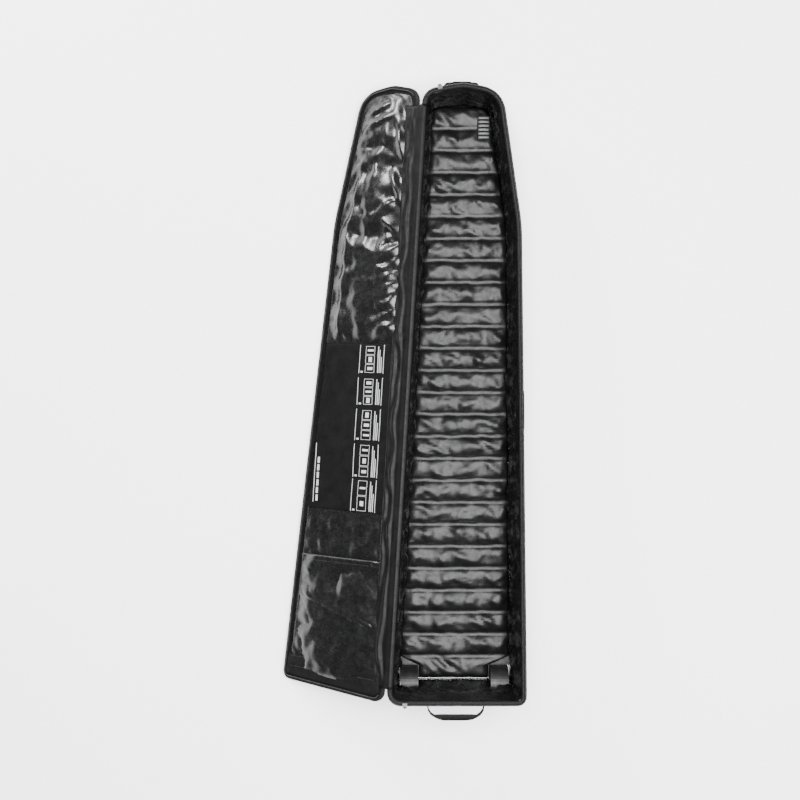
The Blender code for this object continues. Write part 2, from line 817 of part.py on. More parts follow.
def make_lid(materials):
    """Front panel, its lining, pocket and zip, all turned open about the hinge."""
    start, axis = hinge_line()
    hinge = bpy.data.objects.new("lid_hinge_axis", None)
    hinge.location = start
    hinge.rotation_mode = "QUATERNION"
    hinge.rotation_quaternion = Matrix.Rotation(-open_angle(), 3, axis).to_quaternion()
    bpy.context.collection.objects.link(hinge)
    underside = ZIP_ZONE

    def plate(points, low, high):
        def build(shape):
            rings = [[above_rim(p, lift) - start for p in points] for lift in (low, high)]
            loft(shape, rings)
        return build

    def add(name, build, finish):
        return make_object(name, build, materials[finish], parent=hinge)

    panel = whole(outline(PIPING, hinge_extra=LID_HINGE_GAP))
    add("lid_panel", plate(panel, underside, underside + LID_THICKNESS), "shell")

    def piping(shape):
        outer = lid_ring(0.0, 0.0)
        inner = lid_ring(PIPING - FIT_GAP, 0.0)
        bottom = RIM_NORMAL * underside
        top = RIM_NORMAL * (underside + LID_THICKNESS)
        rings = []
        for far_point, near_point in zip(outer, inner):
            corners = [far_point + bottom, far_point + top, near_point + top, near_point + bottom]
            rings.append([corner - start for corner in corners])
        loft(shape, rings, along=True)

    add("lid_binding", piping, "webbing")

    skin = underside - FIT_GAP
    lining = whole(outline(LID_BORDER, hinge_extra=LID_HINGE_GAP))
    add("lid_lining", plate(lining, skin - LID_LINING, skin), "lining")
    face = skin - LID_LINING - FIT_GAP
    pieces = (
        ("lid_print_panel", PRINT_PANEL_START, PRINT_PANEL_END, PRINT_PANEL, "print"),
        ("lid_pocket", POCKET_START, POCKET_END, POCKET_DEPTH, "lining"),
        ("lid_foot_panel", FOOT_PANEL_START, FOOT_PANEL_END, FOOT_PANEL_DEPTH, "shell"),
    )
    for name, start_y, end_y, depth, finish in pieces:
        area = lid_patch_outline(start_y, end_y, LID_PIECE_BORDER)
        add(name, plate(area, face - depth, face), finish)

    def lid_tape(shape):
        near = zip_stretch(outline(LID_TAPE_INSET))
        far = zip_stretch(outline(LID_TAPE_INSET + TAPE_THICKNESS))
        rings = []
        for a, b in zip(near, far):
            low, high = skin - TAPE_HEIGHT, skin
            corners = [above_rim(a, low), above_rim(a, high), above_rim(b, high), above_rim(b, low)]
            rings.append([corner - start for corner in corners])
        loft(shape, rings[1:-1])

    add("lid_zip", lid_tape, "zip")

    def gusset(shape):
        left = left_stretch(outline(0.0))
        rings = []
        for base in left:
            corners = []
            for across, lift in (
                (GUSSET_START, -1), (GUSSET_END, -1), (GUSSET_END, 1), (GUSSET_START, 1),
            ):
                point = Vector((base.x + across, base.y))
                corners.append(above_rim(point, ZIP_ZONE / 2 + lift * LINING) - start)
            rings.append(corners)
        loft(shape, rings)

    add("hinge_gusset", gusset, "shell")


# ---------------------------------------------------------------- zip and sliders

def make_zip(materials):
    """The zip's lower half on the rim, and a slider with its tab at each end."""
    def tape(shape):
        outer = zip_stretch(outline(TAPE_INSET))
        inner = zip_stretch(outline(TAPE_INSET + TAPE_THICKNESS))
        rings = []
        for a, b in zip(outer, inner):
            low, high = FIT_GAP, TAPE_HEIGHT
            rings.append([above_rim(a, low), above_rim(a, high), above_rim(b, high), above_rim(b, low)])
        loft(shape, rings)

    make_object("body_zip", tape, materials["zip"])
    rim = outline(TAPE_INSET + TAPE_THICKNESS / 2)
    foot_start = rim[FOOT_HINGE][-1]
    foot_run = (rim[FOOT_OPEN][0] - foot_start).normalized()
    head_start = rim[HEAD_HINGE][0]
    head_run = (rim[CROWN][-1] - head_start).normalized()
    ends = (("foot", foot_start, foot_run, 1), ("head", head_start, head_run, -1))
    for word, place, run, turn in ends:
        centre = place + run * SLIDER_LENGTH
        make_slider(word, centre, run, turn, materials)


def make_slider(word, centre, run, turn, materials):
    """A slider straddling the zip, with a bail on its outer face that holds the tab."""
    along = Vector((run.x, run.y, run.y * RIM_SLOPE)).normalized()
    out = along.cross(RIM_NORMAL).normalized() * turn
    origin = above_rim(centre, 0.0)
    half_slot = TAPE_THICKNESS / 2 + SLIDER_CLEARANCE
    roof = TAPE_HEIGHT + SLIDER_CLEARANCE
    section = [
        (-SLIDER_HALF, SLIDER_FOOTING), (-SLIDER_HALF, SLIDER_TOP), (SLIDER_HALF, SLIDER_TOP),
        (SLIDER_HALF, SLIDER_FOOTING), (half_slot, SLIDER_FOOTING), (half_slot, roof),
        (-half_slot, roof), (-half_slot, SLIDER_FOOTING),
    ]

    def body(shape):
        rings = []
        for end in (-SLIDER_LENGTH / 2, SLIDER_LENGTH / 2):
            rings.append([along * end + out * a + RIM_NORMAL * b for a, b in section])
        loft(shape, rings)

    middle = RIM_NORMAL * ((SLIDER_TOP + SLIDER_FOOTING) / 2)
    root = middle + out * (SLIDER_HALF - SLIDER_WALL / 2)
    pivot = middle + out * (SLIDER_HALF + BAIL_REACH - BAIL_RADIUS)

    def bail(shape):
        stand = along * (TAB_WIDTH / 2 + TAB_CLEARANCE + BAIL_RADIUS)
        path = [root - stand, pivot - stand, pivot + stand, root + stand]
        sizes = [2 * BAIL_RADIUS] * len(path)
        loft(shape, strap_rings(path, RIM_NORMAL, sizes, sizes))

    slider = make_object("slider_" + word, body, materials["zip"], origin)
    combine(slider, "bail_" + word, bail, "UNION")
    make_pull_tab(word, origin + pivot, along, out, materials)


def make_pull_tab(word, place, along, out, materials):
    """A tab that hangs from the slider's bail by a barrel round the bar."""
    frame = Matrix((along, out, RIM_NORMAL)).transposed().to_4x4()
    half = TAB_WIDTH / 2

    def barrel(shape):
        cylinder(shape, -half, half, TAB_BARREL, steps=14)
        bmesh.ops.transform(shape, matrix=frame, verts=shape.verts)

    def bore(shape):
        radius = BAIL_RADIUS * math.sqrt(2) + TAB_CLEARANCE
        cylinder(shape, -TAB_WIDTH, TAB_WIDTH, radius, steps=12)
        bmesh.ops.transform(shape, matrix=frame, verts=shape.verts)

    def blade(shape):
        way = pull_direction(out)
        stations = [(TAB_BARREL * 0.7, 0.8), (TAB_LENGTH * 0.55, 0.7), (TAB_LENGTH, 1.0)]
        path = [way * reach for reach, _ in stations]
        widths = [TAB_WIDTH * share for _, share in stations]
        loft(shape, strap_rings(path, along, widths, [TAB_THICKNESS] * len(path)))

    pull = make_object("pull_tab_" + word, barrel, materials["zip"], place)
    combine(pull, "tab_blade_" + word, blade, "UNION")
    cut(pull, "tab_bore_" + word, bore)


def pull_direction(out):
    """A tab hangs straight down, just clear of the wall below it."""
    return (Vector((0.0, 0.0, -1.0)) + out * TAB_LEAN).normalized()


# ---------------------------------------------------------------- inside fittings

def make_fittings(materials):
    """A webbing loop on the hinged wall and a gear ladder on the padding, by the head."""
    inset = WALL + LINING + 2 * LINING_GAP
    rows = [wall_rows(left_stretch, inset), wall_rows(left_stretch, inset + WEBBING_THICKNESS)]

    def loop(shape):
        rings = []
        length = (rows[0][-1][0] - rows[0][0][0]).length
        for reach in (LOOP_FROM_HEAD, LOOP_FROM_HEAD + WEBBING_WIDTH):
            ring = []
            for row, heights in zip(rows, ((0, 1), (1, 0))):
                base = row[0][0].lerp(row[-1][0], reach / length)
                rim = row[0][1].lerp(row[-1][1], reach / length)
                for end in heights:
                    height = LOOP_HEIGHT + end * LOOP_LENGTH
                    ring.append(base.lerp(rim, height / rim.z))
            rings.append(ring)
        loft(shape, rings)

    make_object("inner_loop", loop, materials["webbing"])

    def ladder(shape):
        bottom = PANEL + LINING_GAP + RIB_HEIGHT * CROWN_SHARE + 2 * FIT_GAP
        centre = Vector((LADDER_X, HALF - LADDER_FROM_HEAD, bottom))
        half = Vector((LADDER_WIDTH / 2, LADDER_LENGTH / 2, 0.0))
        box(shape, centre - half, centre + half + Vector((0.0, 0.0, LADDER_THICKNESS)))

    make_object("gear_ladder", ladder, materials["webbing"])


def main():
    """Build the whole bag."""
    for piece in list(bpy.data.objects):
        bpy.data.objects.remove(piece, do_unlink=True)
    materials = make_materials()
    walls = make_shell(materials)
    make_floor_liner(materials)
    make_wheel_end(materials, walls)
    make_handles(materials)
    make_lid(materials)
    make_zip(materials)
    make_fittings(materials)


main()
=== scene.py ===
"""Looks of the long snowboard bag: fabric, padding, zip, webbing and wheels.

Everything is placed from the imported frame. The main half is described by four loops read
from its walls: the rim and the foot of the outside, and the same for the lining. The front
panel has its own axes: s along the hinge, t away from it, n up from its inner face.
"""
import json
import math
import bmesh
import bpy
import numpy as np
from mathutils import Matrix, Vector, noise
from mathutils.bvhtree import BVHTree


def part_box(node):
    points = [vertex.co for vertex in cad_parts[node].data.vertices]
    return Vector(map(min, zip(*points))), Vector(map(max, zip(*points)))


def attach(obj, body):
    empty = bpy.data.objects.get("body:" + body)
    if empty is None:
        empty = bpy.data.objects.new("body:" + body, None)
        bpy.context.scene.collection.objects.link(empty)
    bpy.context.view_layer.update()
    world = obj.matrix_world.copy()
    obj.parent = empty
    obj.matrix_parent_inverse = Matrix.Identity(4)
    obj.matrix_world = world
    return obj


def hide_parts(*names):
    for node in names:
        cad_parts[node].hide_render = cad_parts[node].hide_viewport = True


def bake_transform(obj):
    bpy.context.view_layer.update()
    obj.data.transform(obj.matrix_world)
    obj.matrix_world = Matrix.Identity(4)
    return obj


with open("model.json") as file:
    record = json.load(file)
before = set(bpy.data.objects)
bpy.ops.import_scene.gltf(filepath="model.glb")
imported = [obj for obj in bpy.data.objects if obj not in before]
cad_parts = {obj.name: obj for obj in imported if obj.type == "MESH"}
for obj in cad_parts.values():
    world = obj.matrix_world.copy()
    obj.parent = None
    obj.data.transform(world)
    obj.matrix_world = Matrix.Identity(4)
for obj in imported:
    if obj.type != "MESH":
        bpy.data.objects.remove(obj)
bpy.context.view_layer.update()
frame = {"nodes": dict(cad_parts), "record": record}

NODES = frame["nodes"]
UP = np.array([0.0, 0.0, 1.0])

# Camera over the bag, looking straight down
CAMERA_PLACE = (-0.168, -0.027, 4.066)
CAMERA_LENS = 58.1

# Stage, and its lights: name, place, aimed at, size and power
STAGE_SIZE = 30.0
WORLD_STRENGTH = 0.2
LIGHTS = (
    ("key", (0.6, 0.2, 6.0), (-0.1, 0.0, 0.0), (4.6, 4.6), 2050.0),
    ("side_light", (4.2, 0.2, 2.6), (0.0, 0.0, 0.0), (0.8, 4.0), 110.0),
    ("head_light", (-3.0, 3.4, 1.9), (-0.3, 0.1, 0.1), (1.8, 1.0), 380.0),
    ("foot_light", (1.2, -4.8, 2.4), (-0.1, -0.2, 0.0), (2.4, 0.8), 90.0),
)

# Main half
WALL_THICKNESS = 0.0075
LINING_THICKNESS = 0.0007
RIB_PITCH = 0.07
FLOOR_GAP = 0.0012
HOUSING_GAP = 0.003
FLOOR_COLUMNS = 44

# Handles and the way each faces, their sleeves and patches, and the gear ladder
HANDLES = {"foot": (0, -1, 0), "head": (0, 1, 0), "side": (1, 0, 0)}
SLEEVE_SHARE = 0.54
PATCH_LIFTS = (0.0006, 0.006)
PATCH_THICKNESS = 0.003
BOX_STITCHES = ((-0.97, 0.97, -0.86, 0.86), (-0.94, -0.85, -0.6, 0.6), (0.85, 0.94, -0.6, 0.6))
LADDER_LOOPS = 6
LADDER_SECTION = (
    (-0.0032, -0.0006), (0.0032, -0.0006), (0.0036, 0.0),
    (0.0032, 0.0006), (-0.0032, 0.0006), (-0.0036, 0.0),
)

# Rim profiles, as (out from the edge, rise above it)
RIM_BAND = (
    (0.0004, -0.0138), (0.003, -0.0138), (0.0036, -0.008), (0.003, -0.0022), (0.0016, 0.0004),
    (-0.004, 0.001), (-0.0096, 0.0002), (-0.0114, -0.003), (-0.0114, -0.0085),
    (-0.0104, -0.0085), (-0.0096, -0.0012), (-0.0004, -0.0008),
)
BODY_TAPE = (
    (-0.0012, -0.0006), (-0.001, 0.003), (-0.0012, 0.0062),
    (-0.002, 0.0062), (-0.0021, 0.003), (-0.002, -0.0006),
)
LID_TAPE = (
    (-0.0072, -0.0006), (-0.007, 0.003), (-0.0072, 0.0062),
    (-0.0081, 0.0062), (-0.0082, 0.003), (-0.0081, -0.0006),
)

# Stitches and zip teeth: pitch, length, width and height, and the rings of one bead
STITCH = (0.0046, 0.0034, 0.0009, 0.0008)
TOOTH = (0.0024, 0.0015, 0.0024, 0.0019)
BEAD_RINGS = ((-0.5, 0.45), (-0.3, 1.0), (0.3, 1.0), (0.5, 0.45))
BEAD_SIDES = 6
THREAD_RISE = 0.0006

# Spacing of the fabric grids
LOOP_POINTS = 400
WALL_ROWS = 16
FLOOR_STEP = 0.0075
LID_STEP = 0.008

# Front panel, measured from the hinge (t) and from its middle (s)
LINING_BORDER = 0.018
GUSSET_WIDTH = 0.062
SEAMS_BELOW_PRINT = (-0.385, -0.448, -0.52)
PRINT_START = -0.372
PRINT_END = 0.145
POCKET_START = -0.828
POCKET_END = -0.514
HEM_WIDTH = 0.016
FOOT_PANEL_TOP = -0.826
FOOT_PANEL_SEAMS = (-0.834, -0.866)
GUSSET_ENDS = (-0.885, 0.868)
GUSSET_BEND = 0.004
GUSSET_THICKNESS = 0.0009
GUSSET_FOOT = (
    (0.015, -0.02), (0.0132, -0.012), (0.0125, -0.005),
    (0.0095, -0.0026), (0.005, -0.0024), (0.0015, -0.0012),
)

# Printed guide: where each step starts and ends along the panel
GUIDE_STEPS = ((0.051, 0.138), (-0.046, 0.038), (-0.154, -0.058), (-0.266, -0.164), (-0.37, -0.272))
STEP_RULES = (0.179, 0.089)
TEXT_LINES = (0.92, 0.8, 0.55)
PICTURE_SPAN = (0.1235, 0.1575)
PICTOGRAMS = ((0.0045, 0.01), (0.0075, 0.007), (0.003, 0.012))
HEADING_SPAN = (-0.352, -0.168)
HEADING_RULE = 0.327
HEADING_BARS = 6
INK_STEP = 0.006
INK_HALF = 0.0006
INK_LINE = 0.0011

# Larger folds of the lining: from, to, width and height
LINING_FOLDS = (
    ((0.845, 0.215), (0.885, 0.115), 0.008, 0.009),
    ((0.8, 0.225), (0.85, 0.095), 0.007, 0.008),
    ((0.7, 0.06), (0.83, 0.085), 0.01, 0.008),
    ((0.56, 0.055), (0.68, 0.1), 0.009, 0.008),
    ((0.52, 0.17), (0.59, 0.06), 0.01, 0.009),
    ((0.48, 0.06), (0.52, 0.12), 0.008, 0.008),
    ((0.38, 0.19), (0.74, 0.15), 0.014, 0.006),
    ((-0.505, 0.33), (-0.53, 0.3), 0.01, 0.006),
    ((-0.44, 0.12), (-0.445, 0.06), 0.007, 0.006),
)
POCKET_FOLDS = (
    ((-0.632, 0.35), (-0.702, 0.07), 0.017, 0.015),
    ((-0.655, 0.35), (-0.725, 0.24), 0.012, 0.006),
    ((-0.69, 0.15), (-0.712, 0.06), 0.009, 0.007),
    ((-0.69, 0.345), (-0.76, 0.17), 0.016, 0.005),
    ((-0.548, 0.355), (-0.566, 0.31), 0.008, 0.006),
    ((-0.56, 0.32), (-0.596, 0.27), 0.01, 0.004),
)


# ------------------------ reading the frame

def node_points(*names):
    """Every corner of some CAD nodes, as an array."""
    found = []
    for name in names:
        mesh = NODES[name].data
        points = np.empty(len(mesh.vertices) * 3)
        mesh.vertices.foreach_get("co", points)
        found.append(points.reshape(-1, 3))
    return np.vstack(found)


def convex_loop(points):
    """Indices of the convex outline of flat points, going round to the left."""
    order = sorted(range(len(points)), key=lambda i: (points[i][0], points[i][1]))
    halves = []
    for run in (order, order[::-1]):
        chain = []
        for i in run:
            while len(chain) > 1:
                a, b, c = points[chain[-2]], points[chain[-1]], points[i]
                if (b[0] - a[0]) * (c[1] - a[1]) - (b[1] - a[1]) * (c[0] - a[0]) > 1e-12:
                    break
                chain.pop()
            chain.append(i)
        halves.append(chain[:-1])
    return halves[0] + halves[1]


def unit(rows):
    """Rows of vectors, each made one long."""
    return rows / np.linalg.norm(rows, axis=1)[:, None]


def even_loop(loop, count):
    """Resample a closed loop at even steps, with its outward normals."""
    ends = np.vstack([loop, loop[:1]])
    steps = np.linalg.norm(np.diff(ends[:, :2], axis=0), axis=1)
    along = np.concatenate([[0.0], np.cumsum(steps)])
    places = np.linspace(0.0, along[-1], count, endpoint=False)
    points = np.stack([np.interp(places, along, ends[:, k]) for k in range(3)], axis=1)
    run = unit(np.roll(points, -2, axis=0)[:, :2] - np.roll(points, 2, axis=0)[:, :2])
    normals = np.stack([run[:, 1], -run[:, 0]], axis=1)
    return points, normals


def ray_onto(loop, origins, inward):
    """Where rays from the rim, going inwards, first meet a smaller convex loop."""
    hits = []
    nexts = np.roll(loop, -1, axis=0)
    for origin, way in zip(origins, inward):
        best = None
        for a, b in zip(loop, nexts):
            edge = b[:2] - a[:2]
            cross = way[0] * edge[1] - way[1] * edge[0]
            if abs(cross) < 1e-12:
                continue
            gap = a[:2] - origin[:2]
            reach = (gap[0] * edge[1] - gap[1] * edge[0]) / cross
            share = (gap[0] * way[1] - gap[1] * way[0]) / cross
            if -1e-6 <= share <= 1 + 1e-6 and reach > -0.02 and (best is None or reach < best[0]):
                best = (reach, a + (b - a) * share)
        hits.append(best[1])
    return np.array(hits)


def level_loop(names, keep):
    """Convex outline, seen from above, of those corners that pass a height test."""
    points = node_points(*names)
    points = points[keep(points)]
    return points[convex_loop(points[:, :2])]


def span_at(loop, y):
    """Lowest and highest X of a flat loop at one Y."""
    low, high = math.inf, -math.inf
    for a, b in zip(loop, np.roll(loop, -1, axis=0)):
        if (a[1] - y) * (b[1] - y) <= 0 and a[1] != b[1]:
            x = a[0] + (b[0] - a[0]) * (y - a[1]) / (b[1] - a[1])
            low, high = min(low, x), max(high, x)
    return low, high


WALLS = ("left_wall", "right_wall", "head_wall", "foot_wall")
LININGS = tuple(name + "_lining" for name in WALLS)
OUTER_RIM = level_loop(WALLS, lambda p: p[:, 2] > 0.1)
RIM, OUTWARD = even_loop(OUTER_RIM, LOOP_POINTS)
SLOPE = np.polyfit(OUTER_RIM[:, 1], OUTER_RIM[:, 2], 1)
RIM[:, 2] = np.polyval(SLOPE, RIM[:, 1])
BASE = ray_onto(level_loop(WALLS, lambda p: p[:, 2] < 0.001), RIM, -OUTWARD)
INNER_RIM = ray_onto(level_loop(LININGS, lambda p: p[:, 2] > 0.1), RIM, -OUTWARD)
INNER_BASE_LOOP = level_loop(LININGS, lambda p: p[:, 2] < 0.012)
INNER_BASE = ray_onto(INNER_BASE_LOOP, RIM, -OUTWARD)
RIM_UP = np.array([0.0, -SLOPE[0], 1.0]) / math.hypot(1.0, SLOPE[0])
OUT = np.concatenate([OUTWARD, np.zeros((LOOP_POINTS, 1))], axis=1)

JOINTS = {joint["name"]: joint for joint in frame["record"]["behaviour"]["joints"]}
HINGE = np.array(JOINTS["lid_hinge"]["pos_m"])
AXIS_S = np.array(JOINTS["lid_hinge"]["axis"])
AXIS_S /= np.linalg.norm(AXIS_S)
PANEL_POINTS = node_points("lid_panel")
AXIS_T = (PANEL_POINTS.mean(axis=0) - HINGE)
AXIS_T -= AXIS_S * (AXIS_T @ AXIS_S)
FLAT = PANEL_POINTS - PANEL_POINTS.mean(axis=0)
AXIS_N = np.linalg.svd(FLAT, full_matrices=False)[2][2]
AXIS_N *= math.copysign(1.0, AXIS_N[2])
AXIS_T = np.cross(AXIS_N, AXIS_S)
AXIS_T *= math.copysign(1.0, -AXIS_T[0])
LID_MIDDLE = -HINGE[1] / AXIS_S[1]


def lid_coordinates(points):
    """World points as (s, t, n) on the front panel, s counted from its middle."""
    away = points - HINGE
    return np.stack([away @ AXIS_S - LID_MIDDLE, away @ AXIS_T, away @ AXIS_N], axis=1)


def lid_world(coordinates):
    """Front panel coordinates (s, t, n) as world points."""
    c = np.asarray(coordinates, float)
    s = c[..., 0:1] + LID_MIDDLE
    return HINGE + s * AXIS_S + c[..., 1:2] * AXIS_T + c[..., 2:3] * AXIS_N


PANEL_LOCAL = lid_coordinates(PANEL_POINTS)
LID_FACE = PANEL_LOCAL[:, 2].max()
LID_BACK = PANEL_LOCAL[:, 2].min()
LID_EDGE, LID_OUTWARD = even_loop(PANEL_LOCAL[convex_loop(PANEL_LOCAL[:, :2])], LOOP_POINTS)


def lid_grid(start, end, border, columns, fine_ends=False):
    """A flat grid over the front panel, from one station to another, inside its outline."""
    loop = (LID_EDGE[:, :2] - LID_OUTWARD * border)[:, ::-1]
    start = max(start, loop[:, 1].min() + 0.0004)
    end = min(end, loop[:, 1].max() - 0.0004)
    count = max(3, round((end - start) / LID_STEP) + 1)
    shares = np.linspace(0.0, 1.0, count)
    if fine_ends:
        extra = np.linspace(0, 0.03, 14)[1:], np.linspace(0.97, 1, 14)[:-1]
        shares = np.sort(np.concatenate([shares, *extra]))
    grid = np.zeros((len(shares), columns, 3))
    for row, share in zip(grid, shares):
        s = start + (end - start) * share
        near, far = span_at(loop, s)
        row[:, 0] = s
        row[:, 1] = np.linspace(near, far, columns)
    return grid


def edge_distance(grid):
    """How far each point of a front panel grid is from the panel's outline."""
    away = grid[..., None, :2] - LID_EDGE[:, :2]
    return np.sqrt((away ** 2).sum(axis=-1)).min(axis=-1)


# ------------------------ mesh helpers

def linked(name, data):
    """A new object in the scene."""
    made = bpy.data.objects.new(name, data)
    bpy.context.collection.objects.link(made)
    return made


def belongs(piece, body, slot, *nodes):
    """Put a finished piece on its body and hide the CAD nodes that it stands for; the slot is not used."""
    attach(piece, body)
    if nodes:
        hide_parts(*nodes)
    return piece


def raw_mesh(name, points, faces):
    """A mesh from points and faces as they are."""
    mesh = bpy.data.meshes.new(name)
    mesh.from_pydata(np.asarray(points, float).tolist(), [], [tuple(map(int, face)) for face in faces])
    return mesh


def new_piece(name, points, faces, material, smooth=True):
    """A mesh piece from points and faces, facing outwards."""
    mesh = raw_mesh(name, points, faces)
    shape = bmesh.new()
    shape.from_mesh(mesh)
    bmesh.ops.recalc_face_normals(shape, faces=shape.faces)
    if shape.calc_volume(signed=True) < 0:
        bmesh.ops.reverse_faces(shape, faces=shape.faces)
    shape.to_mesh(mesh)
    shape.free()
    mesh.materials.append(material)
    if smooth:
        mesh.shade_smooth()
    return linked(name, mesh)


def apply_modifiers(piece):
    """Make a piece's modifiers part of its mesh."""
    graph = bpy.context.evaluated_depsgraph_get()
    mesh = bpy.data.meshes.new_from_object(piece.evaluated_get(graph))
    piece.modifiers.clear()
    piece.data = mesh


def grid_faces(rows, columns, wrap=False, start=0, flip=False, ring=False):
    """Faces over a grid, which may close on itself across (wrap) or along (ring)."""
    faces = []
    for i in range(rows if ring else rows - 1):
        for j in range(columns if wrap else columns - 1):
            n, k = (i + 1) % rows, (j + 1) % columns
            face = tuple(start + row * columns + column for row, column in ((i, j), (i, k), (n, k), (n, j)))
            faces.append(face[::-1] if flip else face)
    return faces


def slab_faces(rows, columns, wrap=False, start=0):
    """Faces of a closed sheet: its front grid, the back grid that follows it, and the edges."""
    other = rows * columns
    faces = grid_faces(rows, columns, wrap, start)
    faces += grid_faces(rows, columns, wrap, start + other, flip=True)
    edges = []
    for i in (0, rows - 1):
        for j in range(columns if wrap else columns - 1):
            edges.append((i * columns + j, i * columns + (j + 1) % columns))
    if not wrap:
        for j in (0, columns - 1):
            edges += [(i * columns + j, (i + 1) * columns + j) for i in range(rows - 1)]
    faces += [(start + a, start + b, start + b + other, start + a + other) for a, b in edges]
    return faces


def slab(name, front, back, material, wrap=False):
    """A closed piece of cloth between two grids of the same size."""
    points = np.vstack([front.reshape(-1, 3), back.reshape(-1, 3)])
    return new_piece(name, points, slab_faces(*front.shape[:2], wrap), material)


def thin_cloth(name, grid, material, wrap=False, keep_out=()):
    """One layer of cloth over a grid, left open where it would enter the given boxes."""
    points = grid.reshape(-1, 3)
    blocked = np.zeros(len(points), bool)
    for low, high in keep_out:
        blocked |= ((points > np.array(low)) & (points < np.array(high))).all(axis=1)
    faces = [face for face in grid_faces(*grid.shape[:2], wrap) if not blocked[list(face)].any()]
    piece = new_piece(name, points, faces, material)
    thickness = piece.modifiers.new("thickness", "SOLIDIFY")
    thickness.thickness = LINING_THICKNESS
    thickness.offset = 0.0
    apply_modifiers(piece)
    return piece


def rounded(height):
    """The size of a relief without the sharp valleys that a plain absolute value leaves."""
    return np.sqrt(height ** 2 + 0.004 ** 2) - 0.004


def fade(distance, width):
    """Rises from 0 to 1 over a width, and stays there."""
    return np.clip(distance / width, 0.0, 1.0)


def both_ends(share, steepness):
    """Rises from 0 at either end of the shares 0 to 1, and is 1 between."""
    return np.clip(np.minimum(share, 1 - share) * steepness, 0, 1)


def swept(name, rings, material, closed=True):
    """A solid through rings of points that are already in place."""
    count, size = rings.shape[:2]
    faces = grid_faces(count, size, wrap=True, ring=closed)
    if not closed:
        faces.append(tuple(range(size)))
        faces.append(tuple((count - 1) * size + j for j in range(size)))
    return new_piece(name, rings.reshape(-1, 3), faces, material)


def round_rings(path, radius, sides=8):
    """Rings of a round tube along a closed path of points."""
    run = unit(np.roll(path, -1, axis=0) - np.roll(path, 1, axis=0))
    side = unit(np.cross(run, UP))
    lift = np.cross(side, run)
    rings = []
    for turn in np.linspace(0, 2 * math.pi, sides, endpoint=False):
        rings.append(path + side * (radius * math.cos(turn)) + lift * (radius * math.sin(turn)))
    return np.stack(rings, axis=1)


def fine_noise(points, size, seed=0.0, squeeze=(1.0, 1.0, 1.0)):
    """Soft noise at each point, with features of about one size, finer where squeezed."""
    values = [noise.noise(Vector(p)) for p in (points * np.array(squeeze)).reshape(-1, 3) / size + seed]
    return np.array(values).reshape(points.shape[:-1])


def settle(points, held, growth, pressure, frames=18, bend=4.0, seed=1):
    """Let a flat grid of cloth, cut larger than its frame, buckle between held seams."""
    rows, columns = points.shape[:2]
    start = points.copy()
    rng = np.random.default_rng(seed)
    start[..., 2] += rng.uniform(0.0, 0.0008, (rows, columns)) * ~held
    piece = linked("cloth", raw_mesh("cloth", start.reshape(-1, 3), grid_faces(rows, columns)))
    group = piece.vertex_groups.new(name="held")
    group.add([int(i) for i in np.flatnonzero(held.ravel())], 1.0, "REPLACE")
    modifier = piece.modifiers.new("cloth", "CLOTH")
    cloth = modifier.settings
    cloth.vertex_group_mass = "held"
    cloth.shrink_min = -growth
    cloth.use_pressure = True
    cloth.uniform_pressure_force = pressure
    cloth.quality = 5
    cloth.mass = 0.12
    cloth.tension_stiffness = 20
    cloth.compression_stiffness = 20
    cloth.shear_stiffness = 6
    cloth.bending_stiffness = bend
    cloth.effector_weights.gravity = 0.0
    modifier.point_cache.frame_end = frames
    for step in range(1, frames + 1):
        bpy.context.scene.frame_set(step)
    graph = bpy.context.evaluated_depsgraph_get()
    settled = np.empty(rows * columns * 3)
    piece.evaluated_get(graph).data.vertices.foreach_get("co", settled)
    bpy.data.objects.remove(piece, do_unlink=True)
    bpy.context.scene.frame_set(1)
    return settled.reshape(rows, columns, 3)


# ------------------------ materials

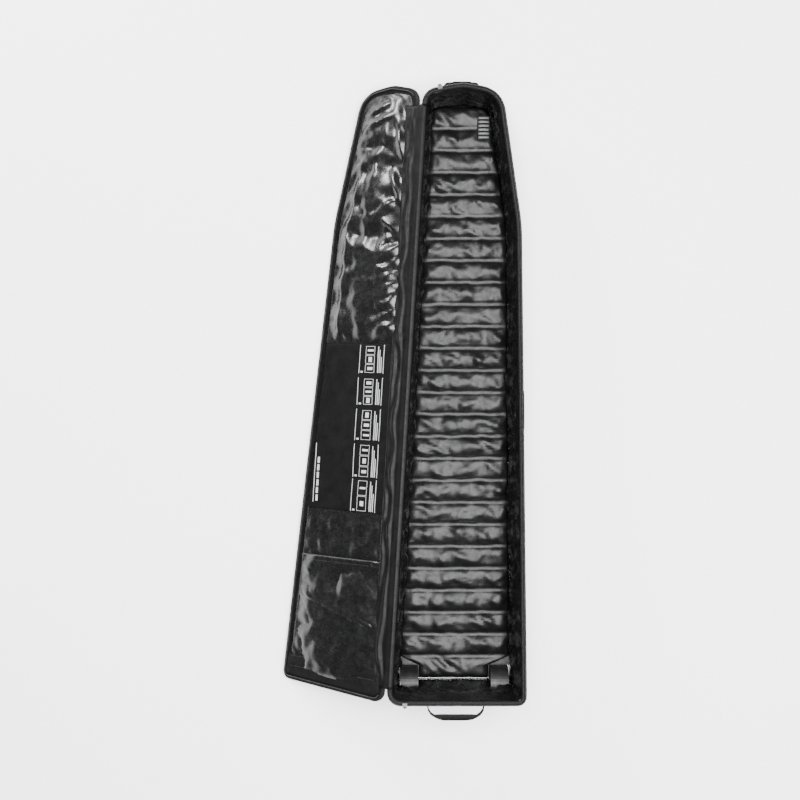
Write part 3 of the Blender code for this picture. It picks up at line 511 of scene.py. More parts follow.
class Nodes:
    """Small helper that builds one material's nodes in a readable order."""

    def __init__(self, name, colour, roughness, metallic=0.0, specular=0.5, sheen=0.0):
        self.material = bpy.data.materials.new(name)
        self.material.use_nodes = True
        self.tree = self.material.node_tree
        self.shader = self.tree.nodes["Principled BSDF"]
        self.shader.inputs["Base Color"].default_value = (*colour, 1.0)
        self.shader.inputs["Roughness"].default_value = roughness
        self.shader.inputs["Metallic"].default_value = metallic
        self.shader.inputs["Specular IOR Level"].default_value = specular
        self.shader.inputs["Sheen Weight"].default_value = sheen
        self.place = self.add("ShaderNodeTexCoord").outputs["Object"]
        self.relief = {}

    def add(self, kind, inputs=(), **values):
        """A node with its settings; each input is a plain value or another node's output."""
        node = self.tree.nodes.new(kind)
        for key, value in values.items():
            setattr(node, key, value)
        for key, value in dict(inputs).items():
            if isinstance(value, bpy.types.NodeSocket):
                self.tree.links.new(value, node.inputs[key])
            else:
                node.inputs[key].default_value = value
        return node

    def drive(self, socket, source):
        self.tree.links.new(source, self.shader.inputs[socket])

    def noise(self, scale, detail=3.0, roughness=0.55, stretch=(1, 1, 1)):
        place = self.add("ShaderNodeMapping", {"Scale": stretch, "Vector": self.place})
        return self.add("ShaderNodeTexNoise", {
            "Scale": scale, "Detail": detail, "Roughness": roughness,
            "Vector": place.outputs["Vector"]}).outputs["Fac"]

    def waves(self, scale, direction="X"):
        settings = {"Scale": scale, "Distortion": 0.4, "Vector": self.place}
        return self.add("ShaderNodeTexWave", settings, bands_direction=direction).outputs["Fac"]

    def math(self, operation, a, b):
        return self.add("ShaderNodeMath", {0: a, 1: b}, operation=operation).outputs["Value"]

    def ramp(self, source, low, high, start=0.3, end=0.7):
        return self.add("ShaderNodeMapRange", {
            "Value": source, "From Min": start, "From Max": end,
            "To Min": low, "To Max": high}).outputs["Result"]

    def tint(self, source, dark, light, start=0.3, end=0.7):
        share = self.ramp(source, 0.0, 1.0, start, end)
        mixed = self.add("ShaderNodeMix", data_type="RGBA")
        self.tree.links.new(share, mixed.inputs["Factor"])
        mixed.inputs[6].default_value = (*dark, 1.0)
        mixed.inputs[7].default_value = (*light, 1.0)
        self.drive("Base Color", mixed.outputs[2])

    def rough(self, source, low, high):
        self.drive("Roughness", self.ramp(source, low, high))

    def bump(self, source, depth):
        settings = {"Distance": depth, "Strength": 1.0, "Height": source, **self.relief}
        self.relief = {"Normal": self.add("ShaderNodeBump", settings).outputs["Normal"]}
        self.drive("Normal", self.relief["Normal"])


def weave(nodes, threads, depth):
    """Two crossing sets of threads; threads is their number per metre."""
    across, down, upright = (nodes.waves(threads / 20.0, way) for way in "XYZ")
    both = nodes.math("MULTIPLY", across, down)
    nodes.bump(nodes.math("ADD", both, upright), depth)


def shell_material():
    """Densely woven matt polyester."""
    nodes = Nodes("shell_fabric", (0.003, 0.003, 0.003), 0.72, specular=0.07, sheen=0.01)
    nodes.shader.inputs["Sheen Roughness"].default_value = 0.45
    nodes.tint(nodes.noise(38.0, 5.0), (0.0014, 0.0014, 0.0015), (0.0034, 0.0034, 0.0036))
    nodes.rough(nodes.noise(160.0, 2.0), 0.62, 0.82)
    weave(nodes, 1100.0, 0.00022)
    nodes.bump(nodes.noise(55.0, 4.0, stretch=(1, 0.5, 1)), 0.0012)
    return nodes.material


def lining_material(name, shine, coat):
    """Thin coated nylon that catches the light on every crease."""
    nodes = Nodes(name, (0.003, 0.003, 0.003), shine, specular=coat)
    nodes.tint(nodes.noise(24.0, 5.0), (0.0016, 0.0016, 0.0017), (0.004, 0.004, 0.0042))
    nodes.rough(nodes.noise(70.0, 4.0), shine - 0.04, shine + 0.1)
    nodes.bump(nodes.noise(48.0, 2.0, 0.5, stretch=(1.0, 0.6, 1.0)), 0.0006)
    nodes.bump(nodes.noise(220.0, 2.0), 0.00006)
    return nodes.material


def webbing_material():
    """Ribbed polyester webbing."""
    nodes = Nodes("webbing", (0.006, 0.006, 0.006), 0.7, specular=0.1, sheen=0.02)
    nodes.tint(nodes.noise(120.0, 3.0), (0.0026, 0.0026, 0.0027), (0.006, 0.006, 0.0062))
    nodes.bump(nodes.math("ADD", nodes.waves(30.0, "X"), nodes.waves(30.0, "Y")), 0.0005)
    nodes.bump(nodes.waves(75.0, "Z"), 0.0003)
    return nodes.material


def print_fabric_material():
    """Matt fabric that takes the print."""
    nodes = Nodes("print_fabric", (0.006, 0.006, 0.006), 0.66, specular=0.05)
    nodes.tint(nodes.noise(30.0, 4.0), (0.0016, 0.0016, 0.0017), (0.0034, 0.0034, 0.0036))
    nodes.rough(nodes.noise(90.0, 3.0), 0.55, 0.72)
    weave(nodes, 1300.0, 0.00014)
    nodes.bump(nodes.noise(30.0, 3.0), 0.0012)
    return nodes.material


def plain_material(name, colour, roughness, cloud, grain, depth, tints=None, roughs=None,
                   span=(0.3, 0.7), ribbed=False, stretch=(1, 1, 1), **more):
    """Plastic, metal, urethane, ink or thread: clouds of wear over a fine grain."""
    nodes = Nodes(name, colour, roughness, **more)
    wear = nodes.noise(*cloud, stretch=stretch)
    if tints:
        nodes.tint(wear, *tints, *span)
    if roughs:
        nodes.rough(wear, *roughs)
    nodes.bump(nodes.waves(grain) if ribbed else nodes.noise(grain, 2.0, stretch=stretch), depth)
    return nodes.material


SHELL = shell_material()
LINING = lining_material("lining_fabric", 0.24, 0.42)
FLOOR_CLOTH = lining_material("floor_fabric", 0.3, 0.15)
GUSSET_CLOTH = lining_material("gusset_fabric", 0.42, 0.08)
WEBBING = webbing_material()
PRINT_FABRIC = print_fabric_material()
THREAD = plain_material("thread", (0.015, 0.015, 0.016), 0.55, (900.0, 2.0), 160.0, 0.0001, ribbed=True,
                        tints=((0.01, 0.01, 0.0105), (0.024, 0.024, 0.025)))
PALE_WEBBING = plain_material("pale_webbing", (0.06, 0.06, 0.062), 0.5, (300.0, 3.0), 60.0, 0.0003,
                              ribbed=True, tints=((0.045, 0.045, 0.047), (0.085, 0.085, 0.088)))
INK = plain_material("white_ink", (0.3, 0.3, 0.3), 0.55, (700.0, 2.0), 900.0, 0.0001,
                     tints=((0.2, 0.2, 0.205), (0.38, 0.38, 0.38)))
MOULDING = plain_material("moulded_plastic", (0.009, 0.009, 0.009), 0.46, (45.0, 6.0, 0.7), 900.0, 0.0002,
                          tints=((0.004, 0.004, 0.0043), (0.01, 0.01, 0.0106)), roughs=(0.38, 0.6),
                          span=(0.5, 0.8), specular=0.3)
TYRE = plain_material("wheel_urethane", (0.03, 0.03, 0.032), 0.58, (80.0, 5.0), 500.0, 0.0003,
                      tints=((0.022, 0.022, 0.023), (0.06, 0.058, 0.055)), roughs=(0.5, 0.75),
                      span=(0.45, 0.8))
STEEL = plain_material("plated_steel", (0.6, 0.61, 0.62), 0.3, (300.0, 3.0), 900.0, 0.0001,
                       roughs=(0.22, 0.42), stretch=(0.1, 1, 1), metallic=1.0)
ZIP = plain_material("zip_coil", (0.02, 0.02, 0.021), 0.36, (400.0, 2.0), 700.0, 0.0001,
                     roughs=(0.28, 0.48))


# ------------------------ stage

def make_camera():
    """A camera straight over the bag."""
    data = bpy.data.cameras.new("camera")
    data.lens = CAMERA_LENS
    data.sensor_width = 36.0
    data.clip_end = 50.0
    camera = linked("camera", data)
    camera.location = CAMERA_PLACE
    bpy.context.scene.camera = camera


def area_light(name, place, target, size, power):
    """A soft rectangular light aimed at a point."""
    data = bpy.data.lights.new(name, "AREA")
    data.shape = "RECTANGLE"
    data.size, data.size_y = size
    data.energy = power
    light = linked(name, data)
    light.location = place
    light.rotation_euler = (Vector(target) - Vector(place)).to_track_quat("-Z", "Y").to_euler()


def make_stage():
    """Floor, world and studio lights."""
    corners = [(x * STAGE_SIZE, y * STAGE_SIZE, 0) for x, y in ((-1, -1), (1, -1), (1, 1), (-1, 1))]
    mesh = raw_mesh("floor", corners, [(0, 1, 2, 3)])
    mesh.materials.append(Nodes("studio_floor", (0.86, 0.86, 0.86), 0.9, specular=0.0).material)
    linked("floor", mesh)
    world = bpy.data.worlds.new("studio")
    world.use_nodes = True
    background = world.node_tree.nodes["Background"]
    background.inputs["Color"].default_value = (1.0, 1.0, 1.0, 1.0)
    background.inputs["Strength"].default_value = WORLD_STRENGTH
    bpy.context.scene.world = world
    for light in LIGHTS:
        area_light(*light)


make_camera()
make_stage()


# ------------------------ main half

def wall_grid(top, bottom, rows):
    """Rows of points from the bottom loop to the top loop."""
    shares = np.linspace(0.0, 1.0, rows)[:, None, None]
    return bottom[None] + (top - bottom)[None] * shares


def cut_boxes(piece, boxes):
    """Cut openings out of a finished piece."""
    for low, high in boxes:
        corners = [(x, y, z) for z in (low[2], high[2]) for x, y in (
            (low[0], low[1]), (high[0], low[1]), (high[0], high[1]), (low[0], high[1]))]
        faces = [(3, 2, 1, 0), (4, 5, 6, 7), (0, 1, 5, 4), (1, 2, 6, 5), (2, 3, 7, 6), (3, 0, 4, 7)]
        tool = new_piece("cutter", corners, faces, SHELL, smooth=False)
        modifier = piece.modifiers.new("cut", "BOOLEAN")
        modifier.operation = "DIFFERENCE"
        modifier.solver = "EXACT"
        modifier.object = tool
        apply_modifiers(piece)
        bpy.data.objects.remove(tool, do_unlink=True)


def wheel_bays():
    """Boxes round the two wheel housings, with a little room."""
    boxes = []
    room = Vector((0.0008, 0.0008, 0.0008))
    for word in ("left", "right"):
        low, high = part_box("wheel_housing_" + word)
        boxes.append((Vector(low) - room, Vector(high) + room))
    return boxes


def make_outer_shell():
    """One padded skin round the outside of the main half, slack between its seams."""
    rows = 20
    grid = wall_grid(RIM - OUT * 0.0005, BASE - OUT * 0.0005, rows)
    share = np.linspace(0, 1, rows)[:, None]
    slack = np.sin(share * math.pi) ** 0.7
    folds = fine_noise(grid, 0.085, squeeze=(1.0, 0.55, 1.0)) * 0.006
    creases = np.abs(fine_noise(grid, 0.035, 7.0, (1.0, 0.7, 2.2))) * 0.0035
    push = slack * (folds - creases - 0.001)
    front = grid + OUT[None] * push[..., None]
    inner = wall_grid(RIM - OUT * WALL_THICKNESS, BASE - OUT * WALL_THICKNESS, rows)
    piece = slab("outer_shell", front, inner, SHELL, wrap=True)
    cut_boxes(piece, wheel_bays())
    belongs(piece, "bag", "shell", *WALLS)
    return piece


def make_wall_lining():
    """Thin coated lining inside the four walls, creased where it is cut too large."""
    rows = WALL_ROWS
    grid = wall_grid(INNER_RIM, INNER_BASE, rows)
    around = np.linspace(0.0, 4.15, LOOP_POINTS, endpoint=False)
    heights = np.linspace(0.0, 0.2, rows)
    flat = np.zeros((rows, LOOP_POINTS, 3))
    flat[..., 0] = around[None]
    flat[..., 1] = heights[:, None]
    held = np.zeros((rows, LOOP_POINTS), bool)
    held[0] = held[-1] = True
    relief = settle(flat, held, 0.06, 0.5, frames=14, bend=0.05, seed=5)[..., 2]
    share = np.linspace(0, 1, rows)[:, None]
    slack = both_ends(share, 6)
    relief = np.clip(np.abs(relief), 0.0, 0.012)
    relief += np.abs(fine_noise(grid, 0.045, 3.0, (1.0, 1.0, 0.6))) * 0.008
    front = grid - OUT[None] * (relief * slack)[..., None]
    piece = thin_cloth("wall_lining", front, LINING, wrap=True, keep_out=wheel_bays())
    belongs(piece, "bag", "lining", *LININGS)


def make_floor():
    """Quilted padding over the back, sewn across every seven centimetres."""
    low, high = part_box("floor_liner")
    bottom = low[2]
    first, last = low[1], high[1]
    rib_count = round((last - first) / RIB_PITCH)
    pitch = (last - first) / rib_count
    rows_per_rib = max(4, round(pitch / FLOOR_STEP))
    rows = rib_count * rows_per_rib + 1
    columns = FLOOR_COLUMNS
    housing_low, housing_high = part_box("wheel_housing_right")
    loop = INNER_BASE_LOOP
    grid = np.zeros((rows, columns, 3))
    for i in range(rows):
        y = first + (last - first) * i / (rows - 1)
        left, right = span_at(loop, min(y, loop[:, 1].max() - 1e-4))
        left += FLOOR_GAP
        right -= FLOOR_GAP
        room = (y - housing_high[1]) / 0.03
        if room < 1.0:
            share = min(max(room, 0.0), 1.0)
            beside = housing_low[0] - HOUSING_GAP
            left = left * share - beside * (1 - share)
            right = right * share + beside * (1 - share)
        grid[i, :, 0] = np.linspace(left, right, columns)
        grid[i, :, 1] = y
    held = np.zeros((rows, columns), bool)
    held[::rows_per_rib] = True
    held[:, 0] = held[:, -1] = True
    height = settle(grid, held, 0.055, 1.6, frames=16, bend=1.0, seed=2)[..., 2]
    height = np.clip(rounded(height), 0.0, 0.014)
    phase = (np.arange(rows) % rows_per_rib) / rows_per_rib
    crown = np.sin(np.pi * phase) ** 0.55
    edge = both_ends(np.linspace(0, 1, columns), 14) ** 0.6
    puff = (0.007 * crown)[:, None] * edge[None]
    grain = fine_noise(grid, 0.055, 11.0, (1.0, 1.5, 1.0)) * 0.0042
    skewed = grid @ np.array([[1.0, 0.7, 0.0], [-0.5, 1.0, 0.0], [0.0, 0.0, 1.0]])
    creases = rounded(fine_noise(skewed, 0.045, 4.0, (0.5, 1.3, 1.0)) * 0.012)
    shape = np.clip(crown, 0.0, 1.0)[:, None] * edge[None]
    top, under = grid.copy(), grid.copy()
    top[..., 2] = bottom + 0.0035 + puff + height * shape * 0.6 + (grain + creases) * (0.3 + 0.7 * shape)
    under[..., 2] = bottom
    piece = belongs(slab("floor_padding", top, under, FLOOR_CLOTH), "bag", "lining", "floor_liner")
    return top, rows_per_rib


OUTER = make_outer_shell()
make_wall_lining()
FLOOR_TOP, ROWS_PER_RIB = make_floor()


# ------------------------ rims, zips and stitches

def rim_rings(loop, outward, up, profile):
    """A profile of (out, rise) pairs carried along a loop or an open run."""
    return np.stack([loop + outward * out + up * rise for out, rise in profile], axis=1)


def free_run(normals, hinge_way):
    """Indices of a loop's points that are not on the hinge side, in order."""
    free = normals @ hinge_way < 0.93
    start = int(np.flatnonzero(~free & np.roll(free, -1))[0]) + 1
    return (np.arange(int(free.sum())) + start) % len(normals)


def beads(path, lift, pitch, length, width, height):
    """Small rounded beads in a row along a path: zip teeth or stitches."""
    path = np.asarray(path, float)
    steps = np.linalg.norm(np.diff(path, axis=0), axis=1)
    along = np.concatenate([[0.0], np.cumsum(steps)])
    places = np.arange(pitch / 2, along[-1], pitch)
    lift = np.broadcast_to(np.asarray(lift, float), path.shape)

    def at(rows):
        return np.stack([np.interp(places, along, rows[:, k]) for k in range(3)], axis=1)

    middle, way, rise = at(path), unit(at(np.gradient(path, axis=0))), at(lift)
    side = unit(np.cross(way, rise))
    rings = []
    for end, size in BEAD_RINGS:
        for turn in np.linspace(0, 2 * math.pi, BEAD_SIDES, endpoint=False):
            ring = middle + way * (end * length) + side * (width / 2 * size * math.cos(turn))
            rings.append(ring + rise * (height / 2 * size * math.sin(turn)))
    points = np.stack(rings, axis=1).reshape(-1, 3)
    faces = []
    size = len(BEAD_RINGS) * BEAD_SIDES
    for first in range(0, len(points), size):
        faces += grid_faces(len(BEAD_RINGS), BEAD_SIDES, wrap=True, start=first)
        faces.append(tuple(range(first + BEAD_SIDES - 1, first - 1, -1)))
        faces.append(tuple(range(first + size - BEAD_SIDES, first + size)))
    return points, faces


def bead_piece(name, rows, material, body, slot, *sizes):
    """One piece holding several rows of beads; each row is a path and its upward way."""
    all_points, all_faces, first = [], [], 0
    for path, lift in rows:
        points, faces = beads(path, lift, *sizes)
        all_points.append(points)
        all_faces += [tuple(first + i for i in face) for face in faces]
        first += len(points)
    belongs(new_piece(name, np.vstack(all_points), all_faces, material), body, slot)


def stitches(name, rows, body, slot):
    """Lockstitches of heavy thread."""
    bead_piece(name, rows, THREAD, body, slot, *STITCH)


def teeth(name, path, lift, body):
    """The coil teeth of one half of a zip."""
    bead_piece(name, [(path, lift)], ZIP, body, "zip", *TOOTH)


def make_rims():
    """Bound edge, zip half and piping of the main half."""
    band = swept("rim_band", rim_rings(RIM, OUT, RIM_UP, RIM_BAND), WEBBING)
    belongs(band, "bag", "webbing", "rim_binding")
    order = free_run(OUTWARD, np.array([-1.0, 0.05]) / math.hypot(1.0, 0.05))
    run, way = RIM[order], OUT[order]
    tape = swept("body_zip_tape", rim_rings(run, way, RIM_UP, BODY_TAPE), WEBBING, closed=False)
    belongs(tape, "bag", "zip", "body_zip")
    teeth("body_zip_teeth", run - way * 0.0017 + RIM_UP * 0.0062, RIM_UP, "bag")
    piping = swept("base_piping", round_rings(BASE + UP * 0.0045, 0.0032), WEBBING)
    belongs(piping, "bag", "webbing")
    rim, out = np.vstack([RIM, RIM[:1]]), np.vstack([OUT, OUT[:1]])
    stitches("rim_stitches", [
        (rim + out * 0.0034 - RIM_UP * 0.0112, out),
        (rim - out * 0.0076 + RIM_UP * 0.0008, RIM_UP)], "bag", "webbing")


def lid_rings(order, profile):
    """A profile of (out, rise) pairs round the front panel's outline, as world points."""
    edge = np.concatenate([LID_EDGE[order, :2], np.zeros((len(order), 1))], axis=1)
    out = np.concatenate([LID_OUTWARD[order], np.zeros((len(order), 1))], axis=1)
    return lid_world(rim_rings(edge, out, UP, profile))


def make_lid_rims():
    """Bound edge and zip half of the front panel."""
    everywhere = np.arange(len(LID_EDGE))
    back, face = LID_BACK, LID_FACE
    band = swept("lid_band", lid_rings(everywhere, (
        (-0.0075, back - 0.0009), (0.002, back - 0.0009), (0.0036, back + 0.0014),
        (0.004, (back + face) / 2), (0.0036, face - 0.0014), (0.002, face + 0.0003),
        (-0.0052, face + 0.0003), (-0.0054, face + 0.0001), (-0.0004, face - 0.0001),
        (-0.0004, back + 0.0001), (-0.0075, back + 0.0001))), WEBBING)
    belongs(band, "lid", "webbing", "lid_binding")
    order = free_run(LID_OUTWARD, np.array([0.0, -1.0]))
    profile = [(out, face + rise) for out, rise in LID_TAPE]
    tape = swept("lid_zip_tape", lid_rings(order, profile), WEBBING, closed=False)
    belongs(tape, "lid", "zip", "lid_zip")
    teeth("lid_zip_teeth", lid_rings(order, ((-0.0076, face + 0.0062),))[:, 0], AXIS_N, "lid")
    around = np.append(everywhere, 0)
    stitches("lid_edge_stitches", [
        (lid_rings(around, ((-0.0034, face - 0.0001),))[:, 0], AXIS_N),
        (lid_rings(around, ((-0.0056, back - 0.0011),))[:, 0], -AXIS_N)], "lid", "webbing")


# ------------------------ front panel

def ridge(grid, start, end, width, height):
    """Height of one soft fold that runs from one point of the panel to another."""
    start, end = np.array(start), np.array(end)
    way = end - start
    share = ((grid[..., :2] - start) @ way) / (way @ way)
    nearest = start + np.clip(share, 0, 1)[..., None] * way
    away = np.linalg.norm(grid[..., :2] - nearest, axis=-1)
    taper = np.sin(np.clip(share, 0.0, 1.0) * math.pi) ** 0.5
    return height * np.exp(-(away / width) ** 2) * taper


def lid_piece(name, grid, height, under, material, slot, node):
    """A layer on the front panel's inner face: heights over a flat grid, down to a level."""
    front, back = grid.copy(), grid.copy()
    front[..., 2] = LID_FACE + height
    back[..., 2] = LID_FACE + under
    return belongs(slab(name, lid_world(front), lid_world(back), material), "lid", slot, node)


def make_lid_shell():
    """Padded outside of the front panel, loose between its seams."""
    grid = lid_grid(-1.0, 1.0, 0.0, 48, fine_ends=True)
    margin = edge_distance(grid)
    slack = fade(margin - 0.006, 0.05) ** 0.7
    folds = fine_noise(grid, 0.085, 2.0, (0.5, 1.0, 1.0)) * 0.005
    creases = np.abs(fine_noise(grid, 0.032, 9.0, (0.8, 1.5, 1.0))) * 0.0035
    front, back = grid.copy(), grid.copy()
    front[..., 2] = LID_FACE - 0.0002
    back[..., 2] = LID_BACK + slack * (folds + creases - 0.0032)
    piece = slab("lid_shell", lid_world(front), lid_world(back), SHELL)
    belongs(piece, "lid", "shell", "lid_panel")


def make_lid_lining():
    """Thin coated lining, cut too large for its frame, so that it crumples between the seams."""
    grid = lid_grid(-0.9, 1.0, LINING_BORDER, 40)
    s, t = grid[..., 0], grid[..., 1]
    margin = edge_distance(grid)
    printed = (s > PRINT_START) & (s < PRINT_END)
    held = printed.copy()
    held[0] = held[-1] = True
    held[:, 0] = held[:, -1] = True
    for seam in SEAMS_BELOW_PRINT:
        held |= np.abs(s - seam) < LID_STEP * 0.6
    height = rounded(settle(grid, held, 0.075, 1.3, seed=3)[..., 2]) * 0.6
    hollow = np.ones_like(s)
    for seam in (*SEAMS_BELOW_PRINT, PRINT_START, PRINT_END):
        hollow = np.minimum(hollow, fade(np.abs(s - seam), 0.022))
    hollow = np.minimum(hollow, fade(margin - LINING_BORDER, 0.02))
    hollow = np.where(printed, 0.0, hollow) ** 0.6

    far = t.max(axis=1, keepdims=True)
    wander = fine_noise(grid, 0.07, 5.0) * 0.015
    ruffles = np.abs(np.sin((s + 0.35 * (t - 0.1) + wander) / 0.04 * math.pi)) ** 0.8
    reach = fade(0.135 + wander * 2 - t, 0.02)
    stretch = fade(s - PRINT_END, 0.03) * fade(0.52 - s, 0.08)
    height = height + 0.0095 * ruffles * reach * stretch
    side = far - 0.052 + wander * 0.5
    along_side = np.exp(-((t - side) / 0.014) ** 2) * fade(s - 0.15, 0.04)
    height = height + 0.009 * along_side * fade(0.74 - s, 0.1)
    for fold in LINING_FOLDS:
        height = height + ridge(grid, *fold)
    height = height + fine_noise(grid, 0.06, 1.0, (1.0, 1.8, 1.0)) * 0.003
    limit = 0.0042 + 0.5 * np.clip(margin - LINING_BORDER - 0.004, 0.0, None)
    height = 0.0009 + hollow * np.minimum(height, np.minimum(limit, 0.02))
    piece = lid_piece("lid_lining_cloth", grid, height, 0.0002, LINING, "lining", "lid_lining")


def print_height(grid):
    """Height of the printed panel over the panel's inner face."""
    soft = fine_noise(grid, 0.075, 3.0, (1.0, 1.4, 1.0))
    fine = fine_noise(grid, 0.028, 8.0)
    return 0.0036 + 0.0024 * soft + 0.0007 * fine


def make_print_panel():
    """Matt panel that carries the packing guide."""
    grid = lid_grid(PRINT_START, PRINT_END, LINING_BORDER + 0.001, 44)
    edge = np.clip(np.minimum(grid[..., 0] - PRINT_START, PRINT_END - grid[..., 0]) / 0.008, 0.35, 1.0)
    margin = np.clip((edge_distance(grid) - LINING_BORDER) / 0.01, 0.35, 1.0)
    height = print_height(grid) * np.minimum(edge, margin)
    piece = lid_piece("print_panel", grid, height, 0.0008, PRINT_FABRIC, "print_panel", "lid_print_panel")
    make_print()


def ink_patch(s_low, s_high, t_low, t_high):
    """A flat grid over one printed rectangle, fine enough to follow the cloth."""
    rows = max(2, round((s_high - s_low) / INK_STEP) + 1)
    columns = max(2, round((t_high - t_low) / INK_STEP) + 1)
    grid = np.zeros((rows, columns, 3))
    grid[..., 0] = np.linspace(s_low, s_high, rows)[:, None]
    grid[..., 1] = np.linspace(t_low, t_high, columns)[None]
    return grid


def ink_frame(s_low, s_high, t_low, t_high):
    """Four thin bars round a picture."""
    line = INK_LINE
    return [(s_low, s_high, t_low, t_low + line), (s_low, s_high, t_high - line, t_high),
            (s_low, s_low + line, t_low, t_high), (s_high - line, s_high, t_low, t_high)]


def packing_guide():
    """Rectangles of the printed guide: rules, plain bars where a heading would be, and pictures."""
    low, high = HEADING_SPAN
    bars = [(low, high, HEADING_RULE, HEADING_RULE + 0.0022)]
    for k in range(HEADING_BARS):
        start = low + 0.004 + k * 0.0235
        bars.append((start, start + 0.0185, HEADING_RULE - 0.0165, HEADING_RULE - 0.0085))
    for number, (low, high) in enumerate(GUIDE_STEPS):
        bars += [(low, high, rule, rule + 0.0018) for rule in STEP_RULES]
        bars.append((low + 0.002, low + 0.007, 0.1655, 0.1735))
        for line, share in enumerate(TEXT_LINES):
            place = 0.109 - line * 0.006
            bars.append((low + 0.002, low + 0.002 + (high - low) * share, place, place + 0.0025))
        pictures = 2 if number == len(GUIDE_STEPS) - 1 else 3
        width = (high - low - 0.004) / pictures
        for k in range(pictures):
            left = low + 0.002 + k * width
            bars += ink_frame(left, left + width - 0.002, *PICTURE_SPAN)
            middle = left + width / 2 - 0.001
            wide, tall = PICTOGRAMS[(k + number) % len(PICTOGRAMS)]
            bars.append((middle - wide, middle + wide, 0.1405 - tall, 0.1405 + tall * 0.8))
    return bars


def make_print():
    """White ink on the printed panel, a fraction of a millimetre proud of the cloth."""
    points, faces = [], []
    for bar in packing_guide():
        grid = ink_patch(*bar)
        height = LID_FACE + print_height(grid)
        faces += slab_faces(*grid.shape[:2], start=sum(len(layer) for layer in points))
        for side in (INK_HALF, -INK_HALF):
            grid[..., 2] = height + side
            points.append(lid_world(grid).reshape(-1, 3))
    piece = new_piece("printed_guide", np.vstack(points), faces, INK, smooth=False)
    return belongs(piece, "lid", "print_panel")


def make_pocket():
    """Slack pocket with a folded top hem, sewn down on three sides."""
    grid = lid_grid(POCKET_START, POCKET_END, LINING_BORDER + 0.002, 44)
    s = grid[..., 0]
    margin = edge_distance(grid)
    held = np.zeros(s.shape, bool)
    held[0] = True
    held[:, :2] = held[:, -2:] = True
    height = settle(grid, held, 0.09, 1.5, seed=9)[..., 2]
    height = np.clip(rounded(height) * 0.45, 0.0, 0.009)
    for fold in POCKET_FOLDS:
        height = height + ridge(grid, *fold)
    height = height + fine_noise(grid, 0.075, 6.0) * 0.003
    hollow = fade(margin - LINING_BORDER - 0.002, 0.02) ** 0.6
    hollow = hollow * fade(s - POCKET_START, 0.018) ** 0.6
    hem = fade(s - (POCKET_END - HEM_WIDTH), 0.002) * 0.0014
    gape = np.exp(-((s - POCKET_END) / 0.02) ** 2) * (0.003 + 0.0025 * fine_noise(grid, 0.09, 4.0))
    limit = 0.0045 + 0.45 * np.clip(margin - LINING_BORDER - 0.006, 0.0, None)
    height = 0.0026 + hollow * np.minimum(height + gape, np.minimum(limit, 0.019)) + hem
    piece = lid_piece("lid_pouch", grid, height, 0.0012, LINING, "lining", "lid_pocket")
    return grid, height


def make_foot_panel():
    """Matt padded panel across the foot of the lid, with a stitched tuck."""
    grid = lid_grid(-1.0, FOOT_PANEL_TOP, 0.0125, 46)
    s = grid[..., 0]
    margin = edge_distance(grid)
    height = 0.0078 * fade(margin - 0.012, 0.02) ** 0.5
    height = height * np.clip((FOOT_PANEL_TOP - s) / 0.006, 0.3, 1.0)
    for seam in FOOT_PANEL_SEAMS:
        height = height - 0.0042 * np.exp(-((s - seam) / 0.0035) ** 2)
    tuck = s - (FOOT_PANEL_SEAMS[-1] - 0.008)
    height = height + 0.0025 * np.exp(-(tuck / 0.006) ** 2) * (0.6 + fine_noise(grid, 0.06, 2.0))
    height = np.clip(height + fine_noise(grid, 0.05, 7.0) * 0.0016, 0.0008, None) + 0.0022
    piece = lid_piece("foot_panel", grid, height, 0.001, SHELL, "shell", "lid_foot_panel")
    return grid, height


def station_row(grid, height, station):
    """World points across the front panel at one station, just above a piece's surface."""
    row = int(np.abs(grid[:, 0, 0] - station).argmin())
    path = grid[row, 1:-1].copy()
    path[:, 2] = LID_FACE + height[row, 1:-1] + THREAD_RISE
    return lid_world(path)


def make_gusset():
    """Gathered strip of cloth between the hinged side of the main half and the front panel."""
    inwards = np.cross(RIM_UP, AXIS_S)
    inwards *= math.copysign(1.0, inwards[0])
    rows = round((GUSSET_ENDS[1] - GUSSET_ENDS[0]) / 0.009) + 1
    profile = [inwards * into + RIM_UP * rise for into, rise in GUSSET_FOOT]
    across = np.linspace(GUSSET_BEND, GUSSET_WIDTH, 22)
    for out in across:
        rise = np.interp(out, (GUSSET_BEND, 0.022, 0.032, 0.046), (
            -0.001, LID_FACE + 0.0012, LID_FACE + 0.0022, LID_FACE + 0.005))
        profile.append(AXIS_T * out + AXIS_N * rise)
    across = np.concatenate([np.zeros(len(GUSSET_FOOT)), across])
    stations = np.linspace(*GUSSET_ENDS, rows) + LID_MIDDLE
    grid = HINGE + stations[:, None, None] * AXIS_S + np.array(profile)[None]
    place = np.zeros((rows, len(across), 3))
    place[..., 0] = (stations - LID_MIDDLE)[:, None]
    place[..., 1] = across[None]
    wander = fine_noise(place, 0.14, 6.0, (1.0, 0.4, 1.0)) * 0.03
    pleats = 0.5 + 0.5 * np.sin((across[None] + wander) / 0.026 * 2 * math.pi)
    room = fade(across - 0.023, 0.01) * fade(GUSSET_WIDTH - across, 0.008)
    ends = np.clip(np.minimum(np.arange(rows), np.arange(rows)[::-1]) / 5.0, 0.0, 1.0)
    crumple = np.abs(fine_noise(place, 0.03, 3.0)) * 0.004
    swell = 0.5 + 0.5 * fine_noise(place, 0.22, 1.0, (1.0, 0.3, 1.0))
    height = (0.01 * pleats ** 1.4 * swell + crumple) * room[None] * ends[:, None]
    front = grid + AXIS_N * height[..., None]
    back = front - AXIS_N * GUSSET_THICKNESS
    back[:, :4] = front[:, :4] - inwards * GUSSET_THICKNESS
    piece = slab("gusset_cloth", front, back, GUSSET_CLOTH)
    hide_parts("hinge_gusset")
    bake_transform(piece)


# ------------------------ fittings

